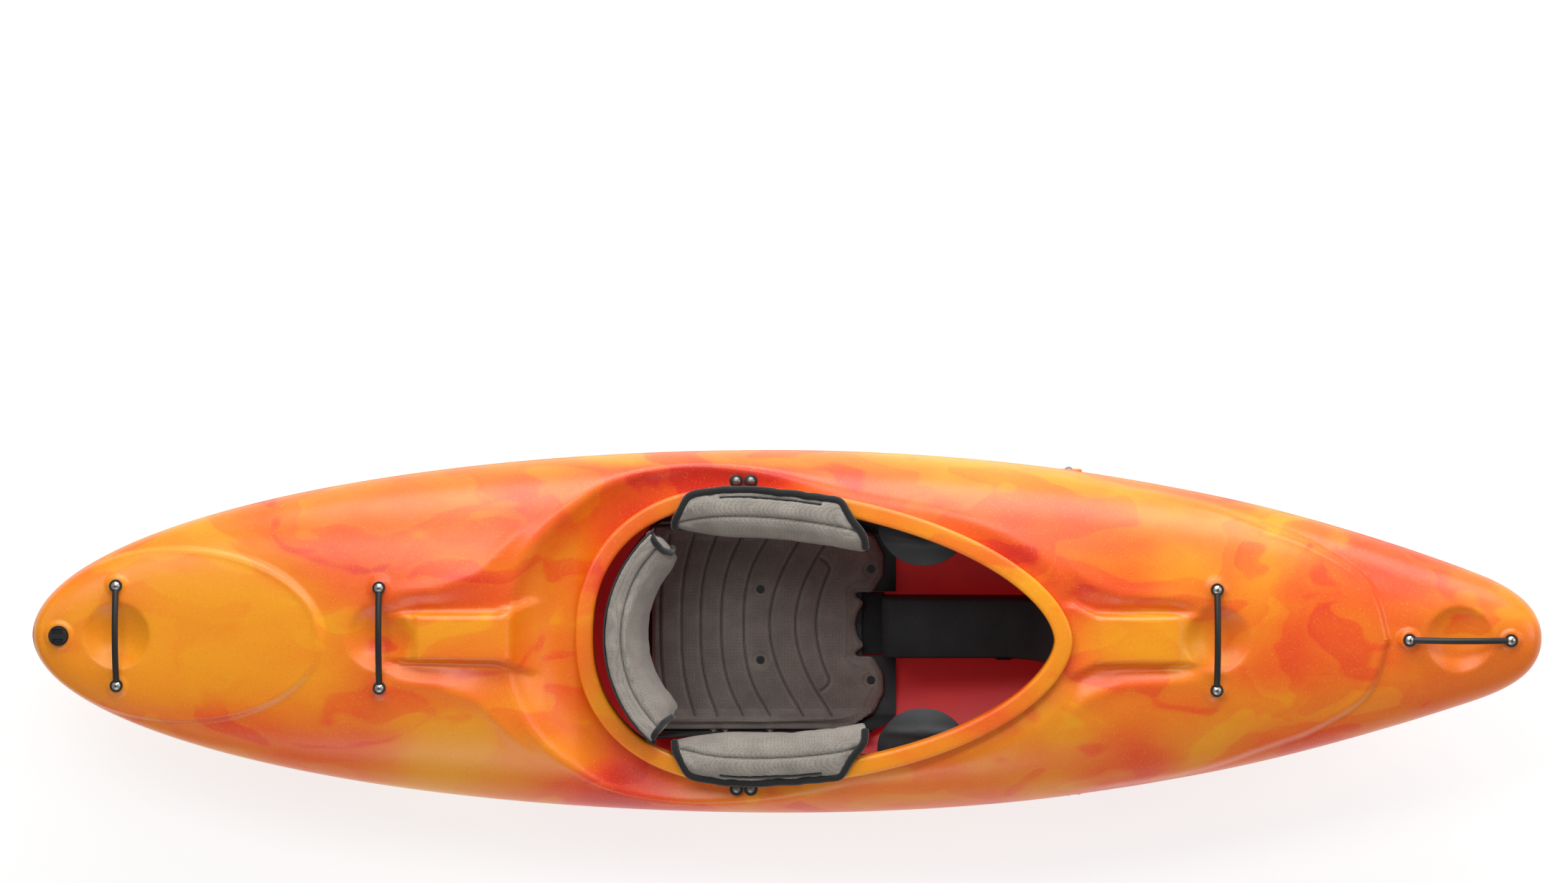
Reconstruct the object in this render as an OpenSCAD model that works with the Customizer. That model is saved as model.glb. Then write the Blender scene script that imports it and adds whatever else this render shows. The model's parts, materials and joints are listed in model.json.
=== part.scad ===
// Whitewater kayak: a moulded hull and deck with a cockpit, its outfitting and its deck fittings.
// +X points to the bow, +Y to port and +Z up. The origin is under the middle of the hull, at the
// height of its lowest point. Everything that sits on the deck takes its height from deck_z().

/* [Hull] */
// Length overall
hull_length = 2620; // [2200:10:3200]
// Beam, at the parting line of the mould
hull_beam = 636; // [610:2:770]
// Height of the deck just in front of the cockpit
hull_height = 372; // [340:2:450]
// Wall of the moulded shell
wall = 6; // [5:0.5:8]
// How steeply the deck rises away from the cockpit rim
recess_ramp = 0.006; // [0.004:0.001:0.01]

/* [Cockpit] */
// Outside length of the rim
rim_length = 859; // [780:1:900]
// Outside width of the rim
rim_width = 520; // [460:1:530]
// Distance from mid length to the back of the rim
rim_back = 363; // [340:1:400]
// Width of the rim's lip, from the opening to the outer edge
lip_width = 31; // [26:1:36]
// Thickness of the lip
lip_thickness = 10; // [8:1:14]
// Height of the lip's top above the deck, at the back
rim_stand = 30; // [26:1:36]

/* [Grab loops] */
// Distance between the two screws of a loop
loop_span = 174; // [160:1:200]
// Diameter of the grip
loop_bar = 11; // [9:0.5:14]
// Diameter of each eyelet
eyelet_d = 22; // [20:1:26]
// Thickness of each eyelet
eyelet_t = 9; // [7:0.5:12]
// Rise of the grip's middle above its ends
loop_rise = 14; // [10:1:20]
// Radius of the hand well under each loop
well_radius = 58; // [50:1:62]
// Depth of the hand well
well_depth = 24; // [18:1:30]
// Diameter of the loop screws
screw_d = 6; // [5:0.5:8]

/* [Drain plug] */
// Distance from the stern to the plug
drain_from_stern = 48; // [44:1:60]
// Diameter of the plug's head
plug_head_d = 30; // [28:1:36]
// Diameter of the plug's shank
plug_shank_d = 19; // [16:0.5:20]

/* [Seat] */
// Length of the seat pan
seat_length = 445; // [420:1:455]
// Width of the seat pan at its floor
seat_floor_w = 326; // [290:1:336]
// Height of the seat pan's sides
seat_side_h = 58; // [50:1:64]
// Travel of the seat each way
seat_travel = 25; // [10:1:30]
// Thickness of moulded outfitting
plastic_t = 4; // [3:0.5:5]
// Thickness of the seat pad
seat_pad_t = 16; // [12:1:20]

/* [Foot brace] */
// Width of the foot plate
foot_plate_w = 340; // [280:1:350]
// Height of the foot plate
foot_plate_h = 165; // [135:1:170]
// Travel of the foot brace each way
foot_travel = 50; // [30:1:55]
// Width of the foot brace's rails
foot_rail_w = 22; // [18:1:28]

/* [Centre foam] */
// Width of the foam wall in the bow and of its step
pillar_w = 104; // [86:1:120]
// Height of the step in front of the seat
step_height = 132; // [110:1:160]
// Width of the foam wall in the stern
stern_wall_w = 70; // [50:1:90]

/* [Hidden] */

// Small clearances: a seated face, and a running fit
seat_gap = 0.3;
run_gap = 0.05;

// The lines are drawn for a hull of this height, as [share of the station angle, height]
drawn_height = 372;
tip_stern = 249;
tip_bow = 320;
keel_line = [[0, tip_stern], [0.05, 215], [0.1, 188], [0.2, 125], [0.3, 54], [0.4, 9], [0.5, -2],
    [0.6, 11], [0.7, 63], [0.8, 151], [0.9, 238], [0.95, 277], [1, tip_bow]];
parting_line = [[0, tip_stern], [0.05, 236], [0.1, 225], [0.2, 200], [0.3, 186], [0.42, 177],
    [0.5, 184], [0.6, 203], [0.7, 226], [0.8, 255], [0.9, 297], [0.95, 315], [1, tip_bow]];
crown_line = [[0, tip_stern], [0.05, 263], [0.1, 265], [0.2, 268], [0.3, 302], [0.37, 324],
    [0.45, 330], [0.53, 356], [0.6, 373], [0.7, 352], [0.8, 347], [0.9, 355], [0.95, 349], [1, tip_bow]];
// Beam as a share of an ellipse's
fineness = [[0, 1], [0.5, 1], [0.6, 0.978], [0.7, 0.921], [0.8, 0.846], [0.86, 0.85], [0.95, 0.98], [1, 1]];
// Exponents of the sections: 2 is an ellipse, more is boxier
bilge_fullness = [[0, 2], [0.25, 2.3], [0.5, 3], [0.75, 2.4], [1, 2]];
deck_fullness = [[0, 2], [0.15, 3], [0.25, 2.6], [0.35, 2.2], [0.5, 2.3], [0.6, 2.5], [0.7, 2.3],
    [0.85, 2.1], [1, 2]];
// Height of the rim's top, as [share of the rim's length, height]
rim_line = [[0, 274], [0.06, 262], [0.16, 257], [0.25, 261], [0.37, 283], [0.49, 314], [0.58, 335],
    [0.68, 350], [0.82, 365], [1, 383]];
// Where the rim is widest, from its back, and the exponents of its two ends
rim_widest = 293;
rim_back_power = 2.25;
rim_front_power = 1.82;

girth_points = 34;
rim_points = 72;

// ---------- Fair curves and the hull's surface ----------

function segment(table, s, i = 0) =
    (i >= len(table) - 2 || s <= table[i + 1][0]) ? i : segment(table, s, i + 1);

function slope_at(table, i) = let (a = table[max(0, i - 1)], b = table[min(len(table) - 1, i + 1)])
    (b[1] - a[1]) / (b[0] - a[0]);

// Value of a smooth curve through [share, value] points
function fair(table, s) = let (i = segment(table, s), a = table[i], b = table[i + 1], h = b[0] - a[0],
        u = max(0, min(1, (s - a[0]) / h)))
    (2 * u^3 - 3 * u^2 + 1) * a[1] + (u^3 - 2 * u^2 + u) * h * slope_at(table, i)
    + (3 * u^2 - 2 * u^3) * b[1] + (u^3 - u^2) * h * slope_at(table, i + 1);

function clamp(v, low, high) = max(low, min(high, v));
function rise(z) = z * hull_height / drawn_height;

// Share of the station angle: 0 at the stern, 0.5 at mid length and 1 at the bow
function station(x) = acos(clamp(-2 * x / hull_length, -1, 1)) / 180;
function station_x(s) = -cos(180 * s) * hull_length / 2;

function half_breadth(x) = let (s = station(x)) hull_beam / 2 * sin(180 * s) * fair(fineness, s);
function keel_z(x) = rise(fair(keel_line, station(x)));
function parting_z(x) = rise(fair(parting_line, station(x)));
function crown_z(x) = rise(fair(crown_line, station(x)));

// Lower of two heights, with a rounded corner of about k between them
function blend_low(a, b, k) = let (h = clamp(0.5 + 0.5 * (b - a) / k, 0, 1))
    b * (1 - h) + a * h - k * h * (1 - h);

// Outline of the rim
rim_wide_x = rim_widest - rim_back;
rim_front = rim_length - rim_back;
function rim_reach(forward) = forward ? rim_length - rim_widest : rim_widest;
function rim_power(forward) = forward ? rim_front_power : rim_back_power;
function rim_z(x) = rise(fair(rim_line, clamp((x + rim_back) / rim_length, 0, 1)));
function rim_share(x) = clamp((x + rim_back) / rim_length, 0, 1);
// The lip stands lower above the deck towards the bow
function recess_z(x) = rim_z(x) - rim_stand + 11 * rim_share(x);

// How many times the rim's outline must grow to reach a point
function rim_growth(x, y) = let (dx = x - rim_wide_x, f = dx > 0, m = rim_power(f))
    pow(pow(abs(dx) / rim_reach(f), m) + pow(abs(y) / (rim_width / 2), m), 1 / m);
// Distance outside the rim, along the line to its widest point
function rim_gap(x, y) = let (g = max(1, rim_growth(x, y))) (1 - 1 / g) * norm([x - rim_wide_x, y]);

function crowned_z(x, y) = let (s = station(x), n = fair(deck_fullness, s), b = half_breadth(x),
        z = parting_z(x))
    z + (crown_z(x) - z) * pow(max(0, 1 - pow(clamp(abs(y) / b, 0, 1), n)), 1 / n);

// Height of the deck's outer surface, with the recess round the cockpit
function deck_z(x, y) = let (top = crowned_z(x, y))
    max(parting_z(x), blend_low(top, recess_z(x) + recess_ramp * rim_gap(x, y)^2, 14));

// Half breadth of the hull's side at a height below the parting line
function side_y(x, z) = let (n = fair(bilge_fullness, station(x)), a = parting_z(x), k = keel_z(x))
    half_breadth(x) * pow(1 - pow(clamp((a - z) / (a - k), 0, 1), n), 1 / n);

// A point of the skin, inset by t. Angle 0 is the port parting line, 90 the deck, 270 the keel
function skin(s, angle, t) = let (x = station_x(s) * (1 - 3 * t / hull_length), up = angle < 180,
        n = fair(up ? deck_fullness : bilge_fullness, station(x)), c = cos(angle), d = abs(sin(angle)),
        b = half_breadth(x), a = parting_z(x), k = keel_z(x),
        y = b * sign(c) * pow(abs(c), 2 / n),
        z = up ? deck_z(x, y) : max(0, a - (a - k) * pow(d, 2 / n)),
        lean = norm([1, (keel_z(x + 4) - keel_z(x - 4)) / 8]))
    [x, y * (b - t) / b, z + (up ? -t : t * lean) * pow(d, 0.4)];

function skin_ring(s, t) = [for (i = [0 : girth_points - 1]) skin(s, 360 * (i + 0.5) / girth_points, t)];

// Stations of the shell, closer together where the deck drops behind the cockpit
stations = [for (s = [0.02 : 0.02 : 0.34]) s, for (s = [0.352 : 0.0075 : 0.43]) s, for (s = [0.45 : 0.02 : 0.971]) s, 0.985];

// ---------- Solids from rings of points ----------

function quad(a, b, c, d) = [[a, b, c], [a, c, d]];

// Closes a row of equal rings, with a point over each end
module loft(rings, first, last) {
    n = len(rings[0]);
    count = len(rings);
    body = [for (i = [0 : count - 2], j = [0 : n - 1], f =
        quad((i + 1) * n + j, (i + 1) * n + (j + 1) % n, i * n + (j + 1) % n, i * n + j)) f];
    ends = [for (j = [0 : n - 1], f = [[count * n, j, (j + 1) % n],
        [count * n + 1, (count - 1) * n + (j + 1) % n, (count - 1) * n + j]]) f];
    polyhedron(concat([for (ring = rings, p = ring) p], [first, last]), concat(body, ends), convexity = 8);
}

// Closes a row of rings end to end, like a tyre
module loop_loft(rings) {
    n = len(rings[0]);
    count = len(rings);
    faces = [for (i = [0 : count - 1], j = [0 : n - 1], f =
        quad(i * n + j, i * n + (j + 1) % n, ((i + 1) % count) * n + (j + 1) % n,
            ((i + 1) % count) * n + j)) f];
    polyhedron([for (ring = rings, p = ring) p], faces, convexity = 8);
}

function middle(ring) = [for (k = [0 : 2]) [for (p = ring) 1] * [for (p = ring) p[k]] / len(ring)];

// A free-form shell, kept as the facets it is drawn with
module as_drawn() resize([0, 0, 0]) children();

module outer_form() loft([for (s = stations) skin_ring(s, 0)],
    [-hull_length / 2, 0, rise(tip_stern)], [hull_length / 2, 0, rise(tip_bow)]);

module inner_form() {
    rings = [for (s = stations) if (s > 0.035 && s < 0.965) skin_ring(s, wall)];
    loft(rings, middle(rings[0]), middle(rings[len(rings) - 1]));
}

// Everything above the parting line
module above_parting(lift = 1.5) {
    top = 2 * hull_height;
    n = 43;
    edge = [for (i = [0 : n]) let (x = station_x(i / n)) [x, parting_z(x) + lift]];
    rotate([90, 0, 0]) linear_extrude(2 * hull_beam, center = true)
        polygon(concat([[-hull_length, edge[0][1]]], edge,
            [[hull_length, edge[n][1]], [hull_length, top], [-hull_length, top]]));
}

// ---------- The rim ----------

function signed_pow(v, k) = sign(v) * pow(abs(v), k);
function rim_edge(angle) = let (c = cos(angle), f = c > 0, k = 2 / rim_power(f))
    [rim_wide_x + rim_reach(f) * signed_pow(c, k), rim_width / 2 * signed_pow(sin(angle), k)];
function rim_normal(angle) = let (t = rim_edge(angle + 1) - rim_edge(angle - 1)) [t[1], -t[0]] / norm(t);
// A point of the rim's plan, moved in from its outer edge
function rim_inset(angle, inset) = rim_edge(angle) - inset * rim_normal(angle);

module rim_outline(inset) polygon([for (i = [0 : rim_points - 1]) rim_inset(360 * i / rim_points, inset)]);

coaming_foot = wall + 3;
function rim_section(angle) = let (x = rim_edge(angle)[0], top = rim_z(x), foot = recess_z(x) - coaming_foot,
        r = lip_thickness * 0.3,
        profile = [[0, top - lip_thickness + r], [0, top - r], [r, top], [lip_width - r, top],
            [lip_width, top - r], [lip_width, foot], [lip_width - wall, foot],
            [lip_width - wall, top - lip_thickness], [r, top - lip_thickness]])
    [for (p = profile) let (q = rim_inset(angle, p[0])) [q[0], q[1], p[1]]];

module cockpit_rim() color("orange") as_drawn()
    loop_loft([for (i = [0 : rim_points - 1]) rim_section(360 * i / rim_points)]);

// ---------- Where the grab loops sit ----------

boss_rise = 3;
boss_t = 12;
boss_d = eyelet_d + 6;
loop_from_stern = 148;
loop_behind_rim = 338;
loop_before_rim = 250;
loop_from_bow = 145;
// Each loop: [middle, across the deck or along it]
loops = [[-hull_length / 2 + loop_from_stern, true], [-rim_back - loop_behind_rim, true],
    [rim_front + loop_before_rim, true], [hull_length / 2 - loop_from_bow, false]];

function loop_end_z(loop, side) = boss_rise
    + (loop[1] ? deck_z(loop[0], loop_span / 2) : deck_z(loop[0] + side * loop_span / 2, 0));

// Moves children to a loop: its grip along X and its seats at Z = 0
module at_loop(loop) {
    back = loop_end_z(loop, -1);
    front = loop_end_z(loop, 1);
    translate([loop[0], 0, (back + front) / 2])
        rotate([0, -asin((front - back) / loop_span), loop[1] ? 90 : 0]) children();
}

module at_loop_screws() for (loop = loops) at_loop(loop) for (side = [-1, 1])
    translate([side * loop_span / 2, 0, 0]) children();

// Sphere that presses a hand well into the deck, grown by a wall
module well_ball(loop, grow = 0) {
    r = (well_radius^2 + well_depth^2) / (2 * well_depth);
    translate([loop[0], 0, deck_z(loop[0], 0) + r - well_depth]) sphere(r + grow, $fn = 26);
}

// Grooves either side of the raised pad between the cockpit and a loop
groove_d = 16;
groove_depth = 11;
groove_y = 46;
grooves = [[-652, -458], [538, 690]];

module groove(ends, side, grow = 0) hull() for (x = ends)
    translate([x, side * groove_y, deck_z(x, side * groove_y) - groove_depth + groove_d / 2])
        sphere(d = groove_d + 2 * grow, $fn = 10);

module dents(grow = 0) {
    for (loop = loops) well_ball(loop, grow);
    for (ends = grooves, side = [-1, 1]) groove(ends, side, grow);
}

// ---------- Where the other fittings sit ----------

drain_x = -hull_length / 2 + drain_from_stern;
drain_z = deck_z(drain_x, 0) + boss_rise;
drain_hole_d = plug_shank_d + 2 * plastic_t;

hanger_screw_x = [-83, -58];
hanger_screw_y = rim_width / 2 + 9;
hanger_screw_d = 5;
hanger_boss_t = 30;
hanger_z = 0.3 + max([for (x = hanger_screw_x, dx = [-8, 8], dy = [-8, 8]) deck_z(x + dx, hanger_screw_y + dy)]);

side_bolt_x = rim_front + 3;
side_bolt_z = rise(183);
side_bolt_d = 8;
side_pad = [45, 30, 32];
side_pad_y = side_y(side_bolt_x, side_bolt_z) + 2;
pad_depth = 16;

module at_hanger_screws() for (x = hanger_screw_x, side = [-1, 1])
    translate([x, side * hanger_screw_y, hanger_z]) children();

// Moves children to each side bolt, with +Z pointing outboard
module at_side_bolts() for (side = [-1, 1])
    translate([side_bolt_x, side * side_pad_y, side_bolt_z]) rotate([-90 * side, 0, 0]) children();

// The thigh braces slide on rods that follow the slope of the deck beside the rim
brace_length = 160;
brace_x = rim_front - 254;
brace_y = rim_width / 2 - 45;
brace_rod_d = 10;
brace_rod_drop = 34;
brace_post_h = 18;
brace_post_gap = 206;
brace_travel = 15;
brace_z = deck_z(brace_x, brace_y) - brace_rod_drop;
brace_slope = atan((deck_z(brace_x + 90, brace_y) - deck_z(brace_x - 90, brace_y)) / 180);

module at_brace() translate([brace_x, brace_y, brace_z]) rotate([0, -brace_slope, 0]) children();
module both_sides() for (side = [0, 1]) mirror([0, side, 0]) children();
module at_brace_posts() both_sides() at_brace() for (end = [-1, 1])
    translate([end * brace_post_gap / 2, 0, 0]) children();

// ---------- Shell ----------

module hull_shell() color("orange") as_drawn() difference() {
    union() {
        difference() {
            outer_form();
            inner_form();
            above_parting();
        }
        difference() {
            at_side_bolts() translate([0, 0, -pad_depth / 2])
                cube([side_pad[0], side_pad[2], pad_depth], center = true);
            above_parting(0);
        }
    }
    at_side_bolts() cylinder(d = side_bolt_d + 1, h = 80, center = true, $fn = 16);
}

module deck_shell() color("orangered") as_drawn() difference() {
    union() {
        intersection() {
            difference() {
                outer_form();
                inner_form();
            }
            above_parting();
        }
        intersection() {
            outer_form();
            union() {
                dents(wall);
                at_brace_posts() translate([0, 0, brace_post_h]) cylinder(d = 22, h = 40, $fn = 16);
            }
        }
        at_loop_screws() translate([0, 0, -boss_t]) cylinder(d = boss_d, h = boss_t, $fn = 20);
        translate([drain_x, 0, drain_z - boss_t]) cylinder(d = drain_hole_d + 12, h = boss_t, $fn = 24);
        at_hanger_screws() translate([0, 0, -hanger_boss_t]) cylinder(d = 18, h = hanger_boss_t, $fn = 16);
    }
    dents();
    translate([0, 0, -hull_height]) linear_extrude(3 * hull_height) rim_outline(lip_width - wall - seat_gap);
    at_loop_screws() cylinder(d = screw_d + 1, h = 80, center = true, $fn = 14);
    at_hanger_screws() cylinder(d = hanger_screw_d + 1, h = 80, center = true, $fn = 14);
    translate([drain_x, 0, drain_z]) cylinder(d = drain_hole_d + 0.6, h = 80, center = true, $fn = 24);
}

// ---------- Grab loops ----------

// A dome of diameter d and height h
module dome(d, h) {
    r = (d^2 / 4 + h^2) / (2 * h);
    intersection() {
        translate([0, 0, h - r]) sphere(r, $fn = 48);
        cylinder(d = d, h = h, $fn = 32);
    }
}

module grab_loop() {
    reach = loop_span / 2 - eyelet_d / 2 + 3;
    r = (reach^2 + loop_rise^2) / (2 * loop_rise);
    half = asin(reach / r);
    difference() {
        for (side = [-1, 1]) translate([side * loop_span / 2, 0, 0]) cylinder(d = eyelet_d, h = eyelet_t, $fn = 40);
        for (side = [-1, 1]) translate([side * loop_span / 2, 0, -1])
            cylinder(d = screw_d + 0.6, h = eyelet_t + 2, $fn = 24);
    }
    translate([0, 0, loop_bar / 2 + 0.8 + loop_rise - r]) rotate([90, 0, 0]) rotate([0, 0, 90 - half])
        rotate_extrude(angle = 2 * half, $fn = 180) translate([r, 0]) circle(d = loop_bar, $fn = 32);
}

module stern_grab_loop() color("#202020") at_loop(loops[0]) grab_loop();
module rear_deck_grab_loop() color("#202020") at_loop(loops[1]) grab_loop();
module front_deck_grab_loop() color("#202020") at_loop(loops[2]) grab_loop();
module bow_grab_loop() color("#202020") at_loop(loops[3]) grab_loop();

washer_t = 1.5;
nut_h = 5;
module nut(d) difference() {
    cylinder(d = 1.9 * d, h = nut_h, $fn = 6);
    translate([0, 0, -1]) cylinder(d = d + run_gap, h = nut_h + 2, $fn = 24);
}

module grab_loop_screws() color("silver") at_loop_screws() {
    translate([0, 0, eyelet_t]) dome(2.5 * screw_d, 3.5);
    translate([0, 0, -boss_t - washer_t - nut_h - 2])
        cylinder(d = screw_d, h = boss_t + washer_t + nut_h + 3 + eyelet_t, $fn = 24);
}

module grab_loop_washers() color("silver") at_loop_screws() translate([0, 0, -boss_t - washer_t]) difference() {
    cylinder(d = 3 * screw_d, h = washer_t, $fn = 32);
    translate([0, 0, -1]) cylinder(d = screw_d + 0.5, h = washer_t + 2, $fn = 24);
}

module grab_loop_nuts() color("silver") at_loop_screws() translate([0, 0, -boss_t - washer_t - nut_h]) nut(screw_d);

// ---------- Drain ----------

drain_flange_t = 2;
gasket_t = 2;
plug_head_h = 8;
bushing_depth = 20;
thread_pitch = 3;
plug_shank_l = 15;

module drain_bushing() color("#202020") translate([drain_x, 0, drain_z]) difference() {
    union() {
        cylinder(d = drain_hole_d + 8, h = drain_flange_t, $fn = 48);
        translate([0, 0, -bushing_depth]) cylinder(d = drain_hole_d, h = bushing_depth, $fn = 48);
    }
    translate([0, 0, -bushing_depth - 1]) cylinder(d = plug_shank_d + 2 * run_gap, h = bushing_depth + 10, $fn = 48);
}

module drain_gasket() color("#303030") translate([drain_x, 0, drain_z + drain_flange_t]) difference() {
    cylinder(d = plug_head_d - 1, h = gasket_t, $fn = 48);
    translate([0, 0, -1]) cylinder(d = plug_shank_d + 2 * run_gap, h = gasket_t + 2, $fn = 48);
}

module drain_plug() color("#202020") translate([drain_x, 0, drain_z + drain_flange_t + gasket_t]) {
    difference() {
        cylinder(d = plug_head_d, h = plug_head_h, $fn = 48);
        // Finger slots either side of the grip bar
        for (side = [-1, 1]) translate([0, side * 8.5, plug_head_h]) cube([18, 9, 10], center = true);
    }
    translate([0, 0, -plug_shank_l]) cylinder(d = plug_shank_d, h = plug_shank_l, $fn = 48);
}

// ---------- Seat ----------

seat_back = -245;
seat_front = seat_back + seat_length;
pan_z = 19;
pan_flare = 30;
pan_half = seat_floor_w / 2;
pan_wall_y = pan_half + pan_flare;
pan_top = pan_z + seat_side_h;
// The notch clears the foam step over the whole travel of the seat
notch_w = pillar_w + 12;
step_back = seat_front - 26;
notch_back = step_back - seat_travel - 10;
bolt_d = 8;
slide_bolt_x = [-105, -25];
slide_bolt_z = pan_top - 14;

// Cross-section of the pan from the middle out, t thick, lying gap above the pan's underside
module tray_section(t, gap, wall_top) {
    outer = [[0, pan_z + gap], [pan_half - gap / 2, pan_z + gap], [pan_wall_y - gap, pan_z + 27 + gap],
        [pan_wall_y - gap, wall_top]];
    inner = [[pan_wall_y - gap - t, wall_top], [pan_wall_y - gap - t, pan_z + 27 + gap + t / 2],
        [pan_half - gap / 2 - t / 2, pan_z + gap + t], [0, pan_z + gap + t]];
    half = concat(outer, inner);
    n = len(half);
    polygon(concat([for (i = [0 : n - 1]) half[i]], [for (i = [n - 2 : -1 : 1]) [-half[i][0], half[i][1]]]));
}

// A section in the YZ plane, carried from one X to another
module along_x(from, to) translate([from, 0, 0]) rotate([90, 0, 90]) linear_extrude(to - from) children();

module seat_plan(back, front, half, lobe, notch) {
    r = 40;
    difference() {
        union() {
            translate([back, -half]) square([front - lobe - back, 2 * half]);
            for (side = [-1, 1]) translate([front - lobe, side * half / 2])
                intersection() {
                    circle(half / 2, $fn = 64);
                    translate([0, -half]) square([lobe, 2 * half]);
                }
        }
        translate([notch, -notch_w / 2]) square([front, notch_w]);
        for (side = [0, 1]) mirror([0, side]) translate([back, half - r]) difference() {
            translate([-1, 0]) square([r + 1, r + 1]);
            translate([r, 0]) circle(r, $fn = 64);
        }
    }
}

module at_slide_bolts() for (side = [-1, 1], x = slide_bolt_x)
    translate([x, side * pan_wall_y, slide_bolt_z]) rotate([-90 * side, 0, 0]) children();

module seat_pan() color("#202428") difference() {
    intersection() {
        along_x(seat_back, seat_front) tray_section(plastic_t, 0, pan_top);
        linear_extrude(3 * pan_top) seat_plan(seat_back, seat_front, pan_wall_y, 70, notch_back);
    }
    at_slide_bolts() cylinder(d = bolt_d + 0.6, h = 40, center = true, $fn = 24);
    for (b = seat_buttons) translate([b[0], b[1], 0]) cylinder(d = button_d / 2 + 0.6, h = 60, $fn = 24);
}

seat_buttons = [[-42, -63], [-42, 63], [155, -99], [155, 99]];
button_d = 14;
pad_top_z = pan_z + plastic_t + seat_gap + seat_pad_t;

module seat_pad() color("#9a9c9e") difference() {
    intersection() {
        along_x(seat_back + 8, seat_front) tray_section(seat_pad_t, plastic_t + seat_gap, pan_top - 22);
        linear_extrude(3 * pan_top) seat_plan(seat_back + 8, seat_front - 20, pan_wall_y, 70, notch_back - 8);
    }
    for (b = seat_buttons) translate([b[0], b[1], 0]) cylinder(d = button_d / 2 + 1, h = 90, $fn = 24);
}

module seat_pad_buttons() color("#303030") for (b = seat_buttons) translate([b[0], b[1], 0]) {
    translate([0, 0, pan_z - 1]) cylinder(d = button_d / 2, h = pad_top_z - pan_z + 1.5, $fn = 24);
    translate([0, 0, pad_top_z + 0.3]) cylinder(d = button_d, h = 2, $fn = 24);
}

module seat_slide_bolts() color("silver") at_slide_bolts() {
    translate([0, 0, -plastic_t - 3]) cylinder(d = 1.7 * bolt_d, h = 3, $fn = 32);
    translate([0, 0, -plastic_t]) cylinder(d = bolt_d, h = 2 * plastic_t + 12, $fn = 24);
}

module seat_slide_knobs() color("#202020") at_slide_bolts() translate([0, 0, hanger_gap + plastic_t]) difference() {
    union() {
        cylinder(d = 2 * bolt_d, h = 8, $fn = 32);
        for (turn = [0 : 60 : 300]) rotate(turn) translate([bolt_d, 0, 0]) cylinder(d = 5, h = 8, $fn = 20);
    }
    translate([0, 0, -1]) cylinder(d = bolt_d + run_gap, h = 20, $fn = 24);
}

// ---------- Hangers that carry the seat from the deck ----------

hanger_gap = 0.4;
hanger_back = -150;
hanger_front = 15;
hanger_y = pan_wall_y + hanger_gap;
hanger_top = hanger_z - hanger_boss_t;
pivot_x = -125;
pivot_z = 112;
pin_d = 8;

module hanger() {
    t = plastic_t;
    bend_z = pivot_z + 22;
    tab_in = hanger_screw_y - 34;
    difference() {
        along_x(hanger_back, hanger_front) polygon([[hanger_y, slide_bolt_z - 16], [hanger_y, bend_z],
            [tab_in, hanger_top], [hanger_screw_y + 12, hanger_top], [hanger_screw_y + 12, hanger_top - t],
            [tab_in + 2, hanger_top - t], [hanger_y + t, bend_z - 1], [hanger_y + t, slide_bolt_z - 16]]);
        for (x = hanger_screw_x) translate([x, hanger_screw_y, hanger_top - 20])
            cylinder(d = hanger_screw_d + 0.6, h = 40, $fn = 24);
        // Slots for the seat's bolts
        for (x = slide_bolt_x) translate([x, hanger_y - 5, slide_bolt_z]) rotate([-90, 0, 0]) linear_extrude(30) {
            square([2 * seat_travel, bolt_d + 0.6], center = true);
            for (end = [-1, 1]) translate([end * seat_travel, 0]) circle(d = bolt_d + 0.6, $fn = 32);
        }
        translate([pivot_x, hanger_y - 5, pivot_z]) rotate([-90, 0, 0]) cylinder(d = pin_d + 0.4, h = 30, $fn = 32);
    }
}

module seat_hanger_port() color("#202428") hanger();
module seat_hanger_starboard() color("#202428") mirror([0, 1, 0]) hanger();

module seat_hanger_screws() color("silver") at_hanger_screws() {
    dome(16, 4);
    translate([0, 0, -hanger_boss_t - plastic_t - nut_h - 2])
        cylinder(d = hanger_screw_d, h = hanger_boss_t + plastic_t + nut_h + 3, $fn = 24);
}

module seat_hanger_nuts() color("silver") at_hanger_screws()
    translate([0, 0, -hanger_boss_t - plastic_t - nut_h]) nut(hanger_screw_d);

// ---------- Hip pads, folded over the rim ----------

function rim_half(x) = let (f = x > rim_wide_x, m = rim_power(f))
    rim_width / 2 * pow(max(0, 1 - pow(abs(x - rim_wide_x) / rim_reach(f), m)), 1 / m);

hip_back = -204;
hip_front = 143;
hip_lie = 0.9;
// The rim climbs forward, so its inner edge stands higher than its outer one there
hip_rise = 2.4;
// Cross-section as [inward from the rim's edge, above the rim's top]; the ends draw in
function hip_section(s) = let (x = hip_back + (hip_front - hip_back) * s, y = rim_half(x), z = rim_z(x),
        ends = pow(sin(180 * clamp(s, 0.03, 0.97)), 0.35),
        deep = lip_width + 17 + 36 * pow(clamp(s / 0.3, 0, 1), 0.8),
        foot = lip_width + 4 + 6 * ends, slant = norm([1, (rim_half(x + 1) - rim_half(x - 1)) / 2]),
        profile = [[4, hip_lie], [3, 5], [4 + 6 * ends, 8 + 8 * ends], [lip_width, 9 + 12 * ends],
            [lip_width + (deep - lip_width) * 0.6, 4 + 10 * ends], [deep, -8],
            [deep + 2, -30 - 26 * ends], [max(foot + 8, deep - 14), -32 - 30 * ends],
            [foot, -30 - 22 * ends], [lip_width + 4, -lip_thickness], [lip_width + 3, hip_lie + hip_rise * s]])
    [for (p = profile) [x, y - p[0] * slant, z + p[1]]];

// Each end closes on a point in the bend of the pad, which sees its whole outline
function hip_bend(s) = let (x = hip_back + (hip_front - hip_back) * s)
    [x, rim_half(x) - lip_width - 9, rim_z(x) + 5];
module hip_pad() loft([for (i = [0 : 24]) hip_section(i / 24)], hip_bend(0), hip_bend(1));

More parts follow.
